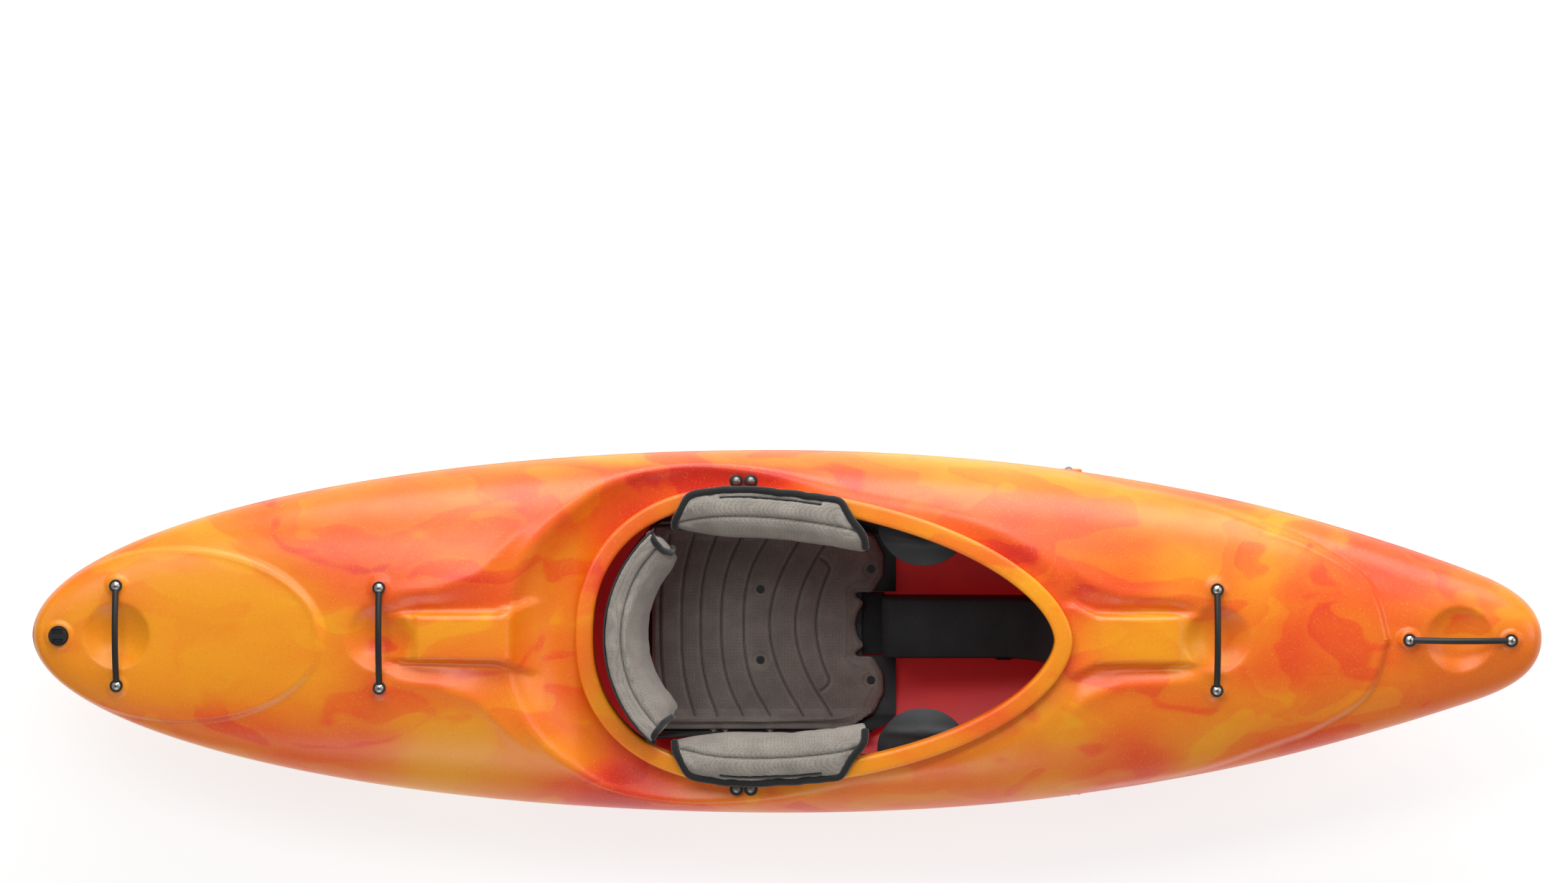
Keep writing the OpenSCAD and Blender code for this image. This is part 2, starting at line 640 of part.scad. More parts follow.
module hip_pad_port() color("#8c8e90") hip_pad();
module hip_pad_starboard() color("#8c8e90") mirror([0, 1, 0]) hip_pad();

// ---------- Backband ----------

band_radius = 245;
band_half = 50;
band_t = 3;
band_pad_t = 22;
band_low = 168;
band_high = rise(308);
band_x = seat_back - 69 + band_radius;
band_end_y = band_radius * sin(band_half);
arm_gap = hanger_y - band_end_y;

module band_arc(inner, outer, half, low, high) translate([band_x, 0, low]) rotate([0, 0, 180 - half])
    rotate_extrude(angle = 2 * half, $fn = 180) translate([inner, 0]) square([outer - inner, high - low]);

module band_arm() {
    end_x = band_x - (band_radius - band_t) * cos(band_half) - 1;
    translate([0, band_end_y, 0]) rotate([90, 0, 0]) linear_extrude(plastic_t) difference() {
        union() {
            translate([pivot_x, pivot_z]) circle(15, $fn = 40);
            polygon([[pivot_x + 8, pivot_z + 12.6], [end_x, band_low + 34], [end_x - 5, band_low + 34],
                [end_x - 5, band_low], [pivot_x - 10, pivot_z - 11]]);
        }
        translate([pivot_x, pivot_z]) circle(d = pin_d + 2 * run_gap, $fn = 40);
    }
}

module backband_plate() color("#202020") {
    band_arc(band_radius - band_t, band_radius, band_half, band_low, band_high);
    both_sides() band_arm();
}

module backband_pad() color("#b8b8b6")
    band_arc(band_radius - band_t - seat_gap - band_pad_t, band_radius - band_t - seat_gap, band_half - 1.5,
        band_low + 2, band_high + 4);

// Each pin has a head outside the hanger, a shoulder inside it and a clip beyond the arm
module backband_pins() color("silver") both_sides() translate([pivot_x, hanger_y, pivot_z]) rotate([90, 0, 0]) {
    translate([0, 0, -plastic_t - 2]) cylinder(d = pin_d, h = arm_gap + 2 * plastic_t + 4, $fn = 32);
    translate([0, 0, -plastic_t - 3.5]) cylinder(d = 13, h = 3, $fn = 32);
    cylinder(d = 12, h = arm_gap - 0.4, $fn = 32);
    translate([0, 0, arm_gap + plastic_t + 0.3]) cylinder(d = 13, h = 3, $fn = 32);
}

// ---------- Thigh braces ----------

module thigh_brace() at_brace() along_x(-brace_length / 2, brace_length / 2) {
    difference() {
        union() {
            circle(d = brace_rod_d + 10, $fn = 48);
            polygon([[0, 5], [-24, 8], [-52, 15], [-76, 16], [-88, 10], [-91, 1], [-87, 0], [-84, 8],
                [-75, 11], [-52, 10], [-24, 2], [0, -7]]);
        }
        circle(d = brace_rod_d + 2 * run_gap, $fn = 48);
    }
}

module thigh_brace_port() color("#303236") thigh_brace();
module thigh_brace_starboard() color("#303236") mirror([0, 1, 0]) thigh_brace();

module thigh_brace_rods() color("silver") both_sides() at_brace() rotate([0, 90, 0])
    cylinder(d = brace_rod_d, h = brace_post_gap + 24, center = true, $fn = 32);

module thigh_brace_posts() color("#202020") at_brace_posts() difference() {
    union() {
        cylinder(d = 12, h = brace_post_h, $fn = 32);
        rotate([0, 90, 0]) cylinder(d = 20, h = 14, center = true, $fn = 32);
    }
    rotate([0, 90, 0]) cylinder(d = brace_rod_d + 2 * run_gap, h = 40, center = true, $fn = 32);
}

// ---------- Foam walls ----------

foam_gap = 1.7;
// Lowest and highest height inside the shell for a wall of half width y, with room under the dents
function floor_in(x, y) = let (n = fair(bilge_fullness, station(x)), a = parting_z(x), k = keel_z(x),
        b = half_breadth(x), lean = norm([1, (keel_z(x + 4) - keel_z(x - 4)) / 8]))
    max(0, a - (a - k) * pow(1 - pow(y / (b - wall), n), 1 / n)) + wall * lean + foam_gap;
function roof_in(x, y, drop) = deck_z(x, y) - wall - drop;

// Each end: [x, drop below the deck's inside]
stern_foam_ends = [[-1085, 12], [-1000, 6], [-800, 6], [-785, 34], [-620, 34], [-440, 22], [-430, 8], [-388, 8]];
bow_foam_ends = [[540, 24], [640, 24]];

module foam_wall(w, tops) {
    back = tops[0][0];
    front = tops[len(tops) - 1][0];
    n = 16;
    translate([0, w / 2, 0]) rotate([90, 0, 0]) linear_extrude(w) polygon(concat(
        [for (i = [0 : n]) let (x = back + (front - back) * i / n) [x, floor_in(x, w / 2)]],
        [for (i = [len(tops) - 1 : -1 : 0]) [tops[i][0], roof_in(tops[i][0], w / 2, tops[i][1])]]));
}

module stern_foam_wall() color("#26282a") foam_wall(stern_wall_w, stern_foam_ends);

// The bow wall starts with a low step between the paddler's legs
module bow_foam_wall() color("#26282a") {
    front = 655;
    step_front = rim_front - 60;
    n = 16;
    translate([0, pillar_w / 2, 0]) rotate([90, 0, 0]) linear_extrude(pillar_w) polygon(concat(
        [for (i = [0 : n]) let (x = step_back + (front - step_back) * i / n) [x, floor_in(x, pillar_w / 2)]],
        [[front, roof_in(front, pillar_w / 2, 20)], [rim_front + 30, roof_in(rim_front + 45, pillar_w / 2, 20)],
            [rim_front - 10, roof_in(rim_front + 45, pillar_w / 2, 34)], [step_front, step_height + 40],
            [step_front - 40, step_height], [step_back + 12, step_height], [step_back, step_height - 12]]));
}

module bow_wall_cord() color("#202020") translate([step_back + 215, -pillar_w / 2 - 2.3, step_height - 25])
    rotate([90, 0, 0]) rotate_extrude($fn = 64) translate([14, 0]) circle(d = 4, $fn = 20);

// ---------- Foot brace ----------

foot_x = 800;
foot_z = 205;
foot_t = 5;
spacer_t = 16;
rail_y = side_pad_y - pad_depth - spacer_t;
rail_bend = side_bolt_x + foot_travel + 30;
rail_back = side_bolt_x - foot_travel - 25;
rail_t = 4;

function foot_outline(shrink) = let (h = foot_plate_h / 2 - shrink, w = foot_plate_w / 2 - shrink)
    [[-w * 0.46, -h], [w * 0.46, -h], [w * 0.72, -h * 0.6], [w, 0], [w, h * 0.45], [w * 0.78, h],
        [-w * 0.78, h], [-w, h * 0.45], [-w, 0], [-w * 0.72, -h * 0.6]];

module foot_rail() translate([0, 0, side_bolt_z - foot_rail_w / 2]) difference() {
    linear_extrude(foot_rail_w) polygon([[rail_back, rail_y], [rail_bend, rail_y],
        [foot_x - 14, foot_plate_w / 2 - 8], [foot_x, foot_plate_w / 2 - 8], [foot_x, foot_plate_w / 2 - 34],
        [foot_x - rail_t, foot_plate_w / 2 - 34], [foot_x - rail_t, foot_plate_w / 2 - 8 - rail_t],
        [foot_x - 15, foot_plate_w / 2 - 8 - rail_t], [rail_bend - 1, rail_y - rail_t], [rail_back, rail_y - rail_t]]);
    translate([side_bolt_x, rail_y + 5, foot_rail_w / 2]) rotate([90, 0, 0]) linear_extrude(20) {
        square([2 * foot_travel, side_bolt_d + 0.6], center = true);
        for (end = [-1, 1]) translate([end * foot_travel, 0]) circle(d = side_bolt_d + 0.6, $fn = 32);
    }
    translate([foot_x - 20, foot_plate_w / 2 - 23, foot_rail_w / 2]) rotate([0, 90, 0]) cylinder(d = screw_d + 0.4, h = 40, $fn = 24);
}

module at_foot_screws() for (side = [-1, 1]) translate([foot_x, side * (foot_plate_w / 2 - 23), side_bolt_z])
    rotate([0, 90, 0]) children();

module foot_brace_rail_port() color("silver") foot_rail();
module foot_brace_rail_starboard() color("silver") mirror([0, 1, 0]) foot_rail();

module foot_brace_plate() color("#202428") difference() {
    translate([foot_x, 0, foot_z]) rotate([90, 0, 90]) linear_extrude(foot_t) polygon(foot_outline(0));
    at_foot_screws() cylinder(d = screw_d + 0.4, h = 40, center = true, $fn = 24);
}

module foot_brace_pad() color("#8c8e90") translate([foot_x - rail_t - 16, 0, foot_z]) rotate([90, 0, 90])
    linear_extrude(rail_t + 16 - seat_gap) intersection() {
        polygon(foot_outline(6));
        square([foot_plate_w - 76, foot_plate_h], center = true);
    }

module foot_brace_screws() color("silver") at_foot_screws() {
    translate([0, 0, -rail_t - 4]) cylinder(d = 2 * screw_d, h = 4, $fn = 32);
    translate([0, 0, -rail_t]) cylinder(d = screw_d, h = rail_t + foot_t + 8, $fn = 24);
    translate([0, 0, foot_t]) cylinder(d = 1.9 * screw_d, h = nut_h, $fn = 6);
}

module at_bolt_inside() at_side_bolts() translate([0, 0, -pad_depth]) children();

module foot_brace_spacers() color("#202020") at_bolt_inside() translate([0, 0, -spacer_t]) difference() {
    cylinder(d = 20, h = spacer_t, $fn = 40);
    translate([0, 0, -1]) cylinder(d = side_bolt_d + 0.6, h = spacer_t + 2, $fn = 24);
}

bolt_reach = pad_depth + spacer_t + rail_t + nut_h + 3;
module foot_brace_bolts() color("silver") at_side_bolts() {
    dome(15, 4);
    translate([0, 0, -bolt_reach]) cylinder(d = side_bolt_d, h = bolt_reach + 1, $fn = 24);
}

module foot_brace_nuts() color("silver") at_bolt_inside() translate([0, 0, -spacer_t - rail_t - nut_h]) nut(side_bolt_d);

hull_shell();
deck_shell();
cockpit_rim();
stern_grab_loop();
rear_deck_grab_loop();
front_deck_grab_loop();
bow_grab_loop();
grab_loop_screws();
grab_loop_washers();
grab_loop_nuts();
drain_bushing();
drain_gasket();
drain_plug();
seat_pan();
seat_pad();
seat_pad_buttons();
seat_slide_bolts();
seat_slide_knobs();
seat_hanger_port();
seat_hanger_starboard();
seat_hanger_screws();
seat_hanger_nuts();
hip_pad_port();
hip_pad_starboard();
backband_plate();
backband_pad();
backband_pins();
thigh_brace_port();
thigh_brace_starboard();
thigh_brace_rods();
thigh_brace_posts();
bow_foam_wall();
stern_foam_wall();
bow_wall_cord();
foot_brace_plate();
foot_brace_pad();
foot_brace_rail_port();
foot_brace_rail_starboard();
foot_brace_screws();
foot_brace_spacers();
foot_brace_bolts();
foot_brace_nuts();
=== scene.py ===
import bpy, bmesh, json, math
import numpy as np
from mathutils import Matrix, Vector

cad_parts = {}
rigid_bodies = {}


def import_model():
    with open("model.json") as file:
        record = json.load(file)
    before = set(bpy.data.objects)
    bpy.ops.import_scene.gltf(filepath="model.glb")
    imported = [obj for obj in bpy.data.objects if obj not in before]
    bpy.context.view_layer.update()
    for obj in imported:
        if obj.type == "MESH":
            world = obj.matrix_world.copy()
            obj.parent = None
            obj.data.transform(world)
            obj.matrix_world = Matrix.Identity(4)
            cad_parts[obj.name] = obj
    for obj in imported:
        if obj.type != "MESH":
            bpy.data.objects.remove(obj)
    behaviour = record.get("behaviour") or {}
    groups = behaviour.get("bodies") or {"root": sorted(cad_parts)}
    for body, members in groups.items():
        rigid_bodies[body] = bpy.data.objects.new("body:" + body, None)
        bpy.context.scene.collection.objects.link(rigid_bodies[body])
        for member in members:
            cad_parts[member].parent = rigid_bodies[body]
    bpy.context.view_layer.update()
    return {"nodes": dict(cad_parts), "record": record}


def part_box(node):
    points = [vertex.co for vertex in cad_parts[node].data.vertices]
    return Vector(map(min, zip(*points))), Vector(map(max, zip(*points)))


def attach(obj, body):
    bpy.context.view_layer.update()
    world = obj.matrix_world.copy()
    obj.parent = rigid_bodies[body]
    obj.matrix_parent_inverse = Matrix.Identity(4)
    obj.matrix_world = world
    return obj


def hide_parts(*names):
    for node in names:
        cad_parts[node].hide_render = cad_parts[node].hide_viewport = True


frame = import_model()
nodes = frame["nodes"]
mm = 0.001

# Camera: a long lens nearly straight above the boat, a little to port of it
camera = {
    "distance": 9.0,
    "tiltToPort": 5.0,       # degrees between the boat's own vertical and the line of sight
    "frameWidth": 2.743,     # metres across the view at the deck
    "boatBelowMiddle": 0.335,
    "deckHeight": 0.2,
    "sensor": 36,
}

camData = bpy.data.cameras.new("camera")
cam = bpy.data.objects.new("camera", camData)
bpy.context.scene.collection.objects.link(cam)
tilt = math.radians(camera["tiltToPort"])
aside = camera["distance"] * math.sin(tilt) - camera["boatBelowMiddle"]
above = camera["distance"] * math.cos(tilt)
cam.location = (0, aside + camera["boatBelowMiddle"], above + camera["deckHeight"])
cam.rotation_euler = (-math.atan2(aside, above), 0, 0)
camData.sensor_width = camera["sensor"]
camData.lens = camera["sensor"] * math.hypot(aside, above) / camera["frameWidth"]
camData.clip_end = 100
bpy.context.scene.camera = cam
print("camera placed, lens", round(camData.lens, 1))


# Small helpers

def hexColor(code):
    parts = [int(code[i:i + 2], 16) / 255 for i in (0, 2, 4)]
    return tuple(p / 12.92 if p <= 0.04045 else ((p + 0.055) / 1.055) ** 2.4 for p in parts) + (1,)


def addNode(tree, kind, links=None, **settings):
    made = tree.nodes.new(kind)
    for key, value in settings.items():
        setattr(made, key, value)
    for socket, value in (links or {}).items():
        if isinstance(value, bpy.types.NodeSocket):
            tree.links.new(value, made.inputs[socket])
        else:
            made.inputs[socket].default_value = value
    return made


def newMaterial(name, color=None, roughness=0.5, metallic=0.0, ior=1.5, **sockets):
    mat = bpy.data.materials.new(name)
    mat.use_nodes = True
    tree = mat.node_tree
    shader = tree.nodes["Principled BSDF"]
    if color:
        shader.inputs["Base Color"].default_value = hexColor(color)
    shader.inputs["Roughness"].default_value = roughness
    shader.inputs["Metallic"].default_value = metallic
    if not metallic:
        shader.inputs["IOR"].default_value = ior
    for key, value in sockets.items():
        shader.inputs[key.replace("_", " ")].default_value = value
    return mat, tree, shader


def addBump(tree, shader, height, depth, under=None):
    links = {"Height": height, "Distance": depth, "Strength": 1.0}
    if under:
        links["Normal"] = under
    bump = addNode(tree, "ShaderNodeBump", links)
    tree.links.new(bump.outputs["Normal"], shader.inputs["Normal"])
    return bump.outputs["Normal"]


def addRamp(tree, factor, stops):
    ramp = addNode(tree, "ShaderNodeValToRGB", {"Fac": factor})
    while len(ramp.color_ramp.elements) < len(stops):
        ramp.color_ramp.elements.new(0.5)
    for element, (place, color) in zip(ramp.color_ramp.elements, stops):
        element.position = place
        element.color = hexColor(color) if isinstance(color, str) else (color, color, color, 1)
    return ramp.outputs["Color"]


def makeMesh(name, points, faces, material):
    mesh = bpy.data.meshes.new(name)
    mesh.from_pydata([tuple(p) for p in points], [], faces)
    mesh.materials.append(material)
    mesh.polygons.foreach_set("use_smooth", [True] * len(mesh.polygons))
    mesh.update()
    obj = bpy.data.objects.new(name, mesh)
    bpy.context.scene.collection.objects.link(obj)
    return obj


def gridFaces(rows, columns, wrapRows=False, wrapColumns=False, flip=False):
    faces = []
    for i in range(rows if wrapRows else rows - 1):
        for j in range(columns if wrapColumns else columns - 1):
            a, b = i * columns + j, i * columns + (j + 1) % columns
            c, d = ((i + 1) % rows) * columns + (j + 1) % columns, ((i + 1) % rows) * columns + j
            faces.append((a, d, c, b) if flip else (a, b, c, d))
    return faces


def deselectAll():
    for o in bpy.context.view_layer.objects:
        o.select_set(False)


def makeActive(obj):
    deselectAll()
    obj.select_set(True)
    bpy.context.view_layer.objects.active = obj


def applyModifiers(obj):
    makeActive(obj)
    for modifier in list(obj.modifiers):
        bpy.ops.object.modifier_apply(modifier=modifier.name)


def placeInMesh(obj):
    makeActive(obj)
    bpy.ops.object.transform_apply(location=True, rotation=True, scale=True)


def faceOutwards(obj):
    makeActive(obj)
    bpy.ops.object.mode_set(mode="EDIT")
    bpy.ops.mesh.select_all(action="SELECT")
    bpy.ops.mesh.normals_make_consistent(inside=False)
    bpy.ops.object.mode_set(mode="OBJECT")


bodyOf = {n: b for b, names in frame["record"]["behaviour"]["bodies"].items() for n in names}
rootBody = "shell"

# How a CAD piece's sharp edges are broken: lengths in metres, angles in degrees
edgeBreak = {"merge": 0.00002, "flatWithin": 1.5, "sharperThan": 35, "segments": 2, "smoothWithin": 32}


# A CAD piece with its sharp edges rounded off, standing for the plain one
def roundedCopy(nodeName, width, material):
    mesh = nodes[nodeName].data.copy()
    obj = bpy.data.objects.new(nodeName + "Rounded", mesh)
    bpy.context.scene.collection.objects.link(obj)
    mesh.materials.clear()
    mesh.materials.append(material)
    bm = bmesh.new()
    bm.from_mesh(mesh)
    bmesh.ops.remove_doubles(bm, verts=bm.verts, dist=edgeBreak["merge"])
    bmesh.ops.dissolve_limit(bm, angle_limit=math.radians(edgeBreak["flatWithin"]), verts=bm.verts,
                             edges=bm.edges)
    bmesh.ops.recalc_face_normals(bm, faces=bm.faces)
    bm.to_mesh(mesh)
    bm.free()
    bevel = obj.modifiers.new("bevel", "BEVEL")
    bevel.width = width
    bevel.segments = edgeBreak["segments"]
    bevel.limit_method = "ANGLE"
    bevel.angle_limit = math.radians(edgeBreak["sharperThan"])
    bevel.use_clamp_overlap = True
    applyModifiers(obj)
    makeActive(obj)
    bpy.ops.object.shade_smooth_by_angle(angle=math.radians(edgeBreak["smoothWithin"]))
    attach(obj, bodyOf[nodeName])
    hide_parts(nodeName)


# Rotomoulded polyethylene: waxy, slightly soft shine, faint orange peel. Pigment batches met in the
# mould and left soft clouds, some with a crisp edge, and a fine speckle.
# The tone attribute says how red a place is, from 0, golden yellow, to 1, red.
moulding = {
    "stops": [(0.0, "EDA004"), (0.22, "EC9406"), (0.45, "EA770B"), (0.66, "E8590F"), (0.85, "DF3C14"),
              (1.0, "D22B14")],
    "inside": [(0.0, "E01A1E"), (0.5, "D41219"), (1.0, "BC0D15")],
    "stretch": (0.75, 1.3, 1.2), "swirlScale": 2.4, "swirlPush": 0.9,
    "cloudScale": 2.6, "cloudReach": (-0.27, 0.35),
    "patchScale": 4.6, "patchLift": 0.17, "patchDip": -0.12,
    "speckPerMetre": 420.0, "darkSpeck": "C8341A", "lightSpeck": "FFC850",
    "glowInside": 0.10, "peelPerMetre": 260.0, "peelDepth": 0.00009, "wavePerMetre": 9.0, "waveDepth": 0.0014,
    "shine": (0.30, 0.40), "shineInside": (0.42, 0.55),
}

def makeMoulding(name, inside=False):
    m = moulding
    mat, tree, shader = newMaterial(name, roughness=0.34, ior=1.53)
    where = addNode(tree, "ShaderNodeTexCoord").outputs["Object"]
    stretch = addNode(tree, "ShaderNodeMapping", {"Vector": where, "Scale": m["stretch"]}).outputs["Vector"]
    swirl = addNode(tree, "ShaderNodeTexNoise",
                    {"Vector": stretch, "Scale": m["swirlScale"], "Detail": 3.0, "Roughness": 0.5})
    bend = addNode(tree, "ShaderNodeVectorMath", {0: swirl.outputs["Color"], 1: (0.5, 0.5, 0.5)},
                   operation="SUBTRACT")
    push = addNode(tree, "ShaderNodeVectorMath", {0: bend.outputs["Vector"], "Scale": m["swirlPush"]},
                   operation="SCALE")
    warped = addNode(tree, "ShaderNodeVectorMath", {0: stretch, 1: push.outputs["Vector"]},
                     operation="ADD").outputs["Vector"]
    clouds = addNode(tree, "ShaderNodeTexNoise",
                     {"Vector": warped, "Scale": m["cloudScale"], "Detail": 4.0,
                      "Roughness": 0.52}).outputs["Fac"]
    plan = addNode(tree, "ShaderNodeAttribute", attribute_name="tone").outputs["Fac"]
    drift = addNode(tree, "ShaderNodeMapRange",
                    {"Value": clouds, "From Min": 0.25, "From Max": 0.75, "To Min": m["cloudReach"][0],
                     "To Max": m["cloudReach"][1]}).outputs["Result"]
    patches = addNode(tree, "ShaderNodeTexNoise",
                      {"Vector": warped, "Scale": m["patchScale"], "Detail": 2.0,
                       "Roughness": 0.45}).outputs["Fac"]
    step = addNode(tree, "ShaderNodeMapRange",
                   {"Value": patches, "From Min": 0.575, "From Max": 0.60, "To Min": 0.0,
                    "To Max": m["patchLift"]}).outputs["Result"]
    dip = addNode(tree, "ShaderNodeMapRange",
                  {"Value": patches, "From Min": 0.40, "From Max": 0.42, "To Min": m["patchDip"],
                   "To Max": 0.0}).outputs["Result"]
    # The first, yellow charge lies almost pure, so the clouds fade there
    mixing = addNode(tree, "ShaderNodeMapRange",
                     {"Value": plan, "From Min": 0.14, "From Max": 0.36, "To Min": 0.25,
                      "To Max": 1.0}).outputs["Result"]
    change = drift
    for part in (step, dip):
        change = addNode(tree, "ShaderNodeMath", {0: change, 1: part}, operation="ADD").outputs[0]
    tone = addNode(tree, "ShaderNodeMath", {0: change, 1: mixing, 2: plan}, operation="MULTIPLY_ADD").outputs[0]
    color = addRamp(tree, tone, m["inside"] if inside else m["stops"])
    if inside:
        # Daylight through the thin wall makes the inside glow a little
        tree.links.new(color, shader.inputs["Emission Color"])
        shader.inputs["Emission Strength"].default_value = m["glowInside"]
    else:
        # Specks of the other pigments, about 2 mm across
        specks = addNode(tree, "ShaderNodeTexNoise",
                         {"Vector": where, "Scale": m["speckPerMetre"], "Detail": 1.0,
                          "Roughness": 0.6}).outputs["Fac"]
        speckMask = addRamp(tree, specks, [(0.0, 0.3), (0.28, 0.3), (0.36, 0.0), (0.64, 0.0), (0.72, 0.28),
                                           (1.0, 0.28)])
        speckTone = addRamp(tree, specks, [(0.0, m["darkSpeck"]), (0.5, m["darkSpeck"]),
                                           (0.55, m["lightSpeck"]), (1.0, m["lightSpeck"])])
        speckled = addNode(tree, "ShaderNodeMix", {0: speckMask, 6: color, 7: speckTone}, data_type="RGBA")
        color = speckled.outputs[2]
    tree.links.new(color, shader.inputs["Base Color"])
    peel = addNode(tree, "ShaderNodeTexNoise",
                   {"Vector": where, "Scale": m["peelPerMetre"], "Detail": 2.0}).outputs["Fac"]
    waves = addNode(tree, "ShaderNodeTexNoise",
                    {"Vector": where, "Scale": m["wavePerMetre"], "Detail": 1.0}).outputs["Fac"]
    addBump(tree, shader, peel, m["peelDepth"], addBump(tree, shader, waves, m["waveDepth"]))
    low, high = m["shineInside"] if inside else m["shine"]
    shine = addNode(tree, "ShaderNodeMapRange", {"Value": peel, "To Min": low, "To Max": high})
    tree.links.new(shine.outputs["Result"], shader.inputs["Roughness"])
    return mat


mouldedPolyethylene = makeMoulding("mouldedPolyethylene")
polyethyleneInside = makeMoulding("polyethyleneInside", inside=True)


# Where each pigment went, with a painted highlight along the port edge: (x, y, reach along x, reach along y,
# tone), in metres
pigmentAndPaintedHighlight = [
    (-1.02, 0.00, 0.20, 0.115, 0.12), (-1.10, 0.17, 0.16, 0.06, 0.42), (-1.27, -0.05, 0.05, 0.10, 0.20),
    (-0.98, -0.20, 0.16, 0.05, 0.50), (-0.72, 0.20, 0.16, 0.08, 0.52), (-0.70, 0.05, 0.07, 0.10, 0.62),
    (-0.58, 0.075, 0.09, 0.030, 0.92), (-0.55, 0.00, 0.09, 0.045, 0.42), (-0.60, -0.085, 0.10, 0.035, 0.55),
    (-0.58, -0.22, 0.12, 0.08, 0.10), (-0.75, -0.22, 0.08, 0.06, 0.62), (-0.40, 0.05, 0.05, 0.20, 0.55),
    (-0.34, 0.22, 0.10, 0.05, 0.98), (-0.40, -0.20, 0.07, 0.08, 0.16), (-0.28, -0.275, 0.09, 0.03, 0.92),
    # The yellow places along the port edge, at y 0.314 and at x 0.35, y 0.29, are partly a painted highlight:
    # the tone is lowered where the port softbox's sheen falls
    (-0.14, 0.276, 0.17, 0.014, 0.98), (-0.10, 0.314, 0.40, 0.014, 0.30), (0.15, 0.25, 0.10, 0.04, 0.50),
    (0.35, 0.29, 0.25, 0.03, 0.32), (0.10, -0.29, 0.25, 0.03, 0.50), (0.30, 0.20, 0.12, 0.05, 0.62),
    (0.47, 0.15, 0.10, 0.06, 0.84), (0.56, 0.09, 0.06, 0.03, 0.86), (0.62, 0.00, 0.08, 0.040, 0.14),
    (0.62, -0.085, 0.10, 0.030, 0.45), (0.45, -0.19, 0.10, 0.06, 0.40), (0.58, -0.23, 0.07, 0.05, 0.92),
    (0.80, 0.13, 0.12, 0.07, 0.50), (0.82, -0.02, 0.06, 0.05, 0.80), (0.80, -0.15, 0.12, 0.06, 0.46),
    (0.95, 0.02, 0.07, 0.07, 0.52), (1.06, 0.07, 0.05, 0.05, 0.70), (1.20, 0.00, 0.12, 0.10, 0.50),
]
rimPigment = [
    (-0.32, 0.17, 0.08, 0.09, 0.85), (-0.36, 0.00, 0.05, 0.10, 0.55), (-0.32, -0.17, 0.09, 0.08, 0.22),
    (-0.10, 0.26, 0.10, 0.05, 0.50), (0.10, -0.25, 0.20, 0.05, 0.30), (0.20, 0.22, 0.16, 0.06, 0.30),
    (0.47, 0.00, 0.06, 0.10, 0.22), (0.38, -0.12, 0.08, 0.05, 0.62), (0.20, -0.2, 0.08, 0.04, 0.36),
]


# Far from every place in the list, a tone of its own takes over
def addTone(obj, places, spareTone=0.48, spareWeight=0.16):
    co = np.empty(len(obj.data.vertices) * 3, np.float32)
    obj.data.vertices.foreach_get("co", co)
    x, y = co.reshape(-1, 3)[:, 0], co.reshape(-1, 3)[:, 1]
    total, weight = np.full(len(x), spareWeight * spareTone), np.full(len(x), spareWeight)
    for px, py, rx, ry, tone in places:
        w = np.exp(-((x - px) / rx) ** 2 - ((y - py) / ry) ** 2)
        total += w * tone
        weight += w
    made = obj.data.attributes.new("tone", "FLOAT", "POINT")
    made.data.foreach_set("value", (total / weight).astype(np.float32))


# Grained black plastics and rubber share one recipe with their own size of grain
def makeGrained(name, color, lighter, roughness, grainPerMetre, depth):
    mat, tree, shader = newMaterial(name, roughness=roughness, ior=1.5)
    where = addNode(tree, "ShaderNodeTexCoord").outputs["Object"]
    grain = addNode(tree, "ShaderNodeTexNoise",
                    {"Vector": where, "Scale": grainPerMetre, "Detail": 3.0, "Roughness": 0.6}).outputs["Fac"]
    cloud = addNode(tree, "ShaderNodeTexNoise", {"Vector": where, "Scale": 14.0, "Detail": 4.0}).outputs["Fac"]
    tree.links.new(addRamp(tree, cloud, [(0.3, color), (0.75, lighter)]), shader.inputs["Base Color"])
    shine = addNode(tree, "ShaderNodeMapRange",
                    {"Value": grain, "From Min": 0.3, "From Max": 0.7, "To Min": roughness - 0.08,
                     "To Max": roughness + 0.12})
    tree.links.new(shine.outputs["Result"], shader.inputs["Roughness"])
    addBump(tree, shader, grain, depth)
    return mat


# Injection moulded, with a fine spark grain
blackNylon = makeGrained("blackNylon", "101113", "1B1C1F", 0.38, 900.0, 0.00012)
# Thermoformed outfitting sheet
darkPolyethylene = makeGrained("darkPolyethylene", "15171A", "23262A", 0.5, 500.0, 0.0002)
# Overmoulded grip, satin, and a plain moulded seal
gripRubber = makeGrained("gripRubber", "0E0F10", "191A1B", 0.46, 1400.0, 0.00008)
sealRubber = makeGrained("sealRubber", "121212", "1A1A1A", 0.6, 800.0, 0.0001)
# Cut polyethylene foam, with tiny open cells
closedCellFoam = makeGrained("closedCellFoam", "141617", "222527", 0.82, 650.0, 0.0005)


# Machined and rolled stainless steel: drawn lines that show as streaks in the highlight
def makeSteel(name, color, roughness, streaks):
    mat, tree, shader = newMaterial(name, color, roughness, metallic=1.0)
    where = addNode(tree, "ShaderNodeTexCoord").outputs["Object"]
    drawn = addNode(tree, "ShaderNodeMapping", {"Vector": where, "Scale": (1, 1, 30)}).outputs["Vector"]
    lines = addNode(tree, "ShaderNodeTexNoise",
                    {"Vector": drawn, "Scale": streaks, "Detail": 2.0}).outputs["Fac"]
    shine = addNode(tree, "ShaderNodeMapRange",
                    {"Value": lines, "To Min": roughness - 0.08, "To Max": roughness + 0.1})
    tree.links.new(shine.outputs["Result"], shader.inputs["Roughness"])
    addBump(tree, shader, lines, 0.00003)
    return mat


stainlessSteel = makeSteel("stainlessSteel", "C9CACC", 0.24, 120.0)
brushedSteel = makeSteel("brushedSteel", "B4B1AC", 0.36, 160.0)
blackenedSteel = makeSteel("blackenedSteel", "86817C", 0.42, 120.0)
anodisedAluminium = makeSteel("anodisedAluminium", "B9BBBE", 0.34, 60.0)

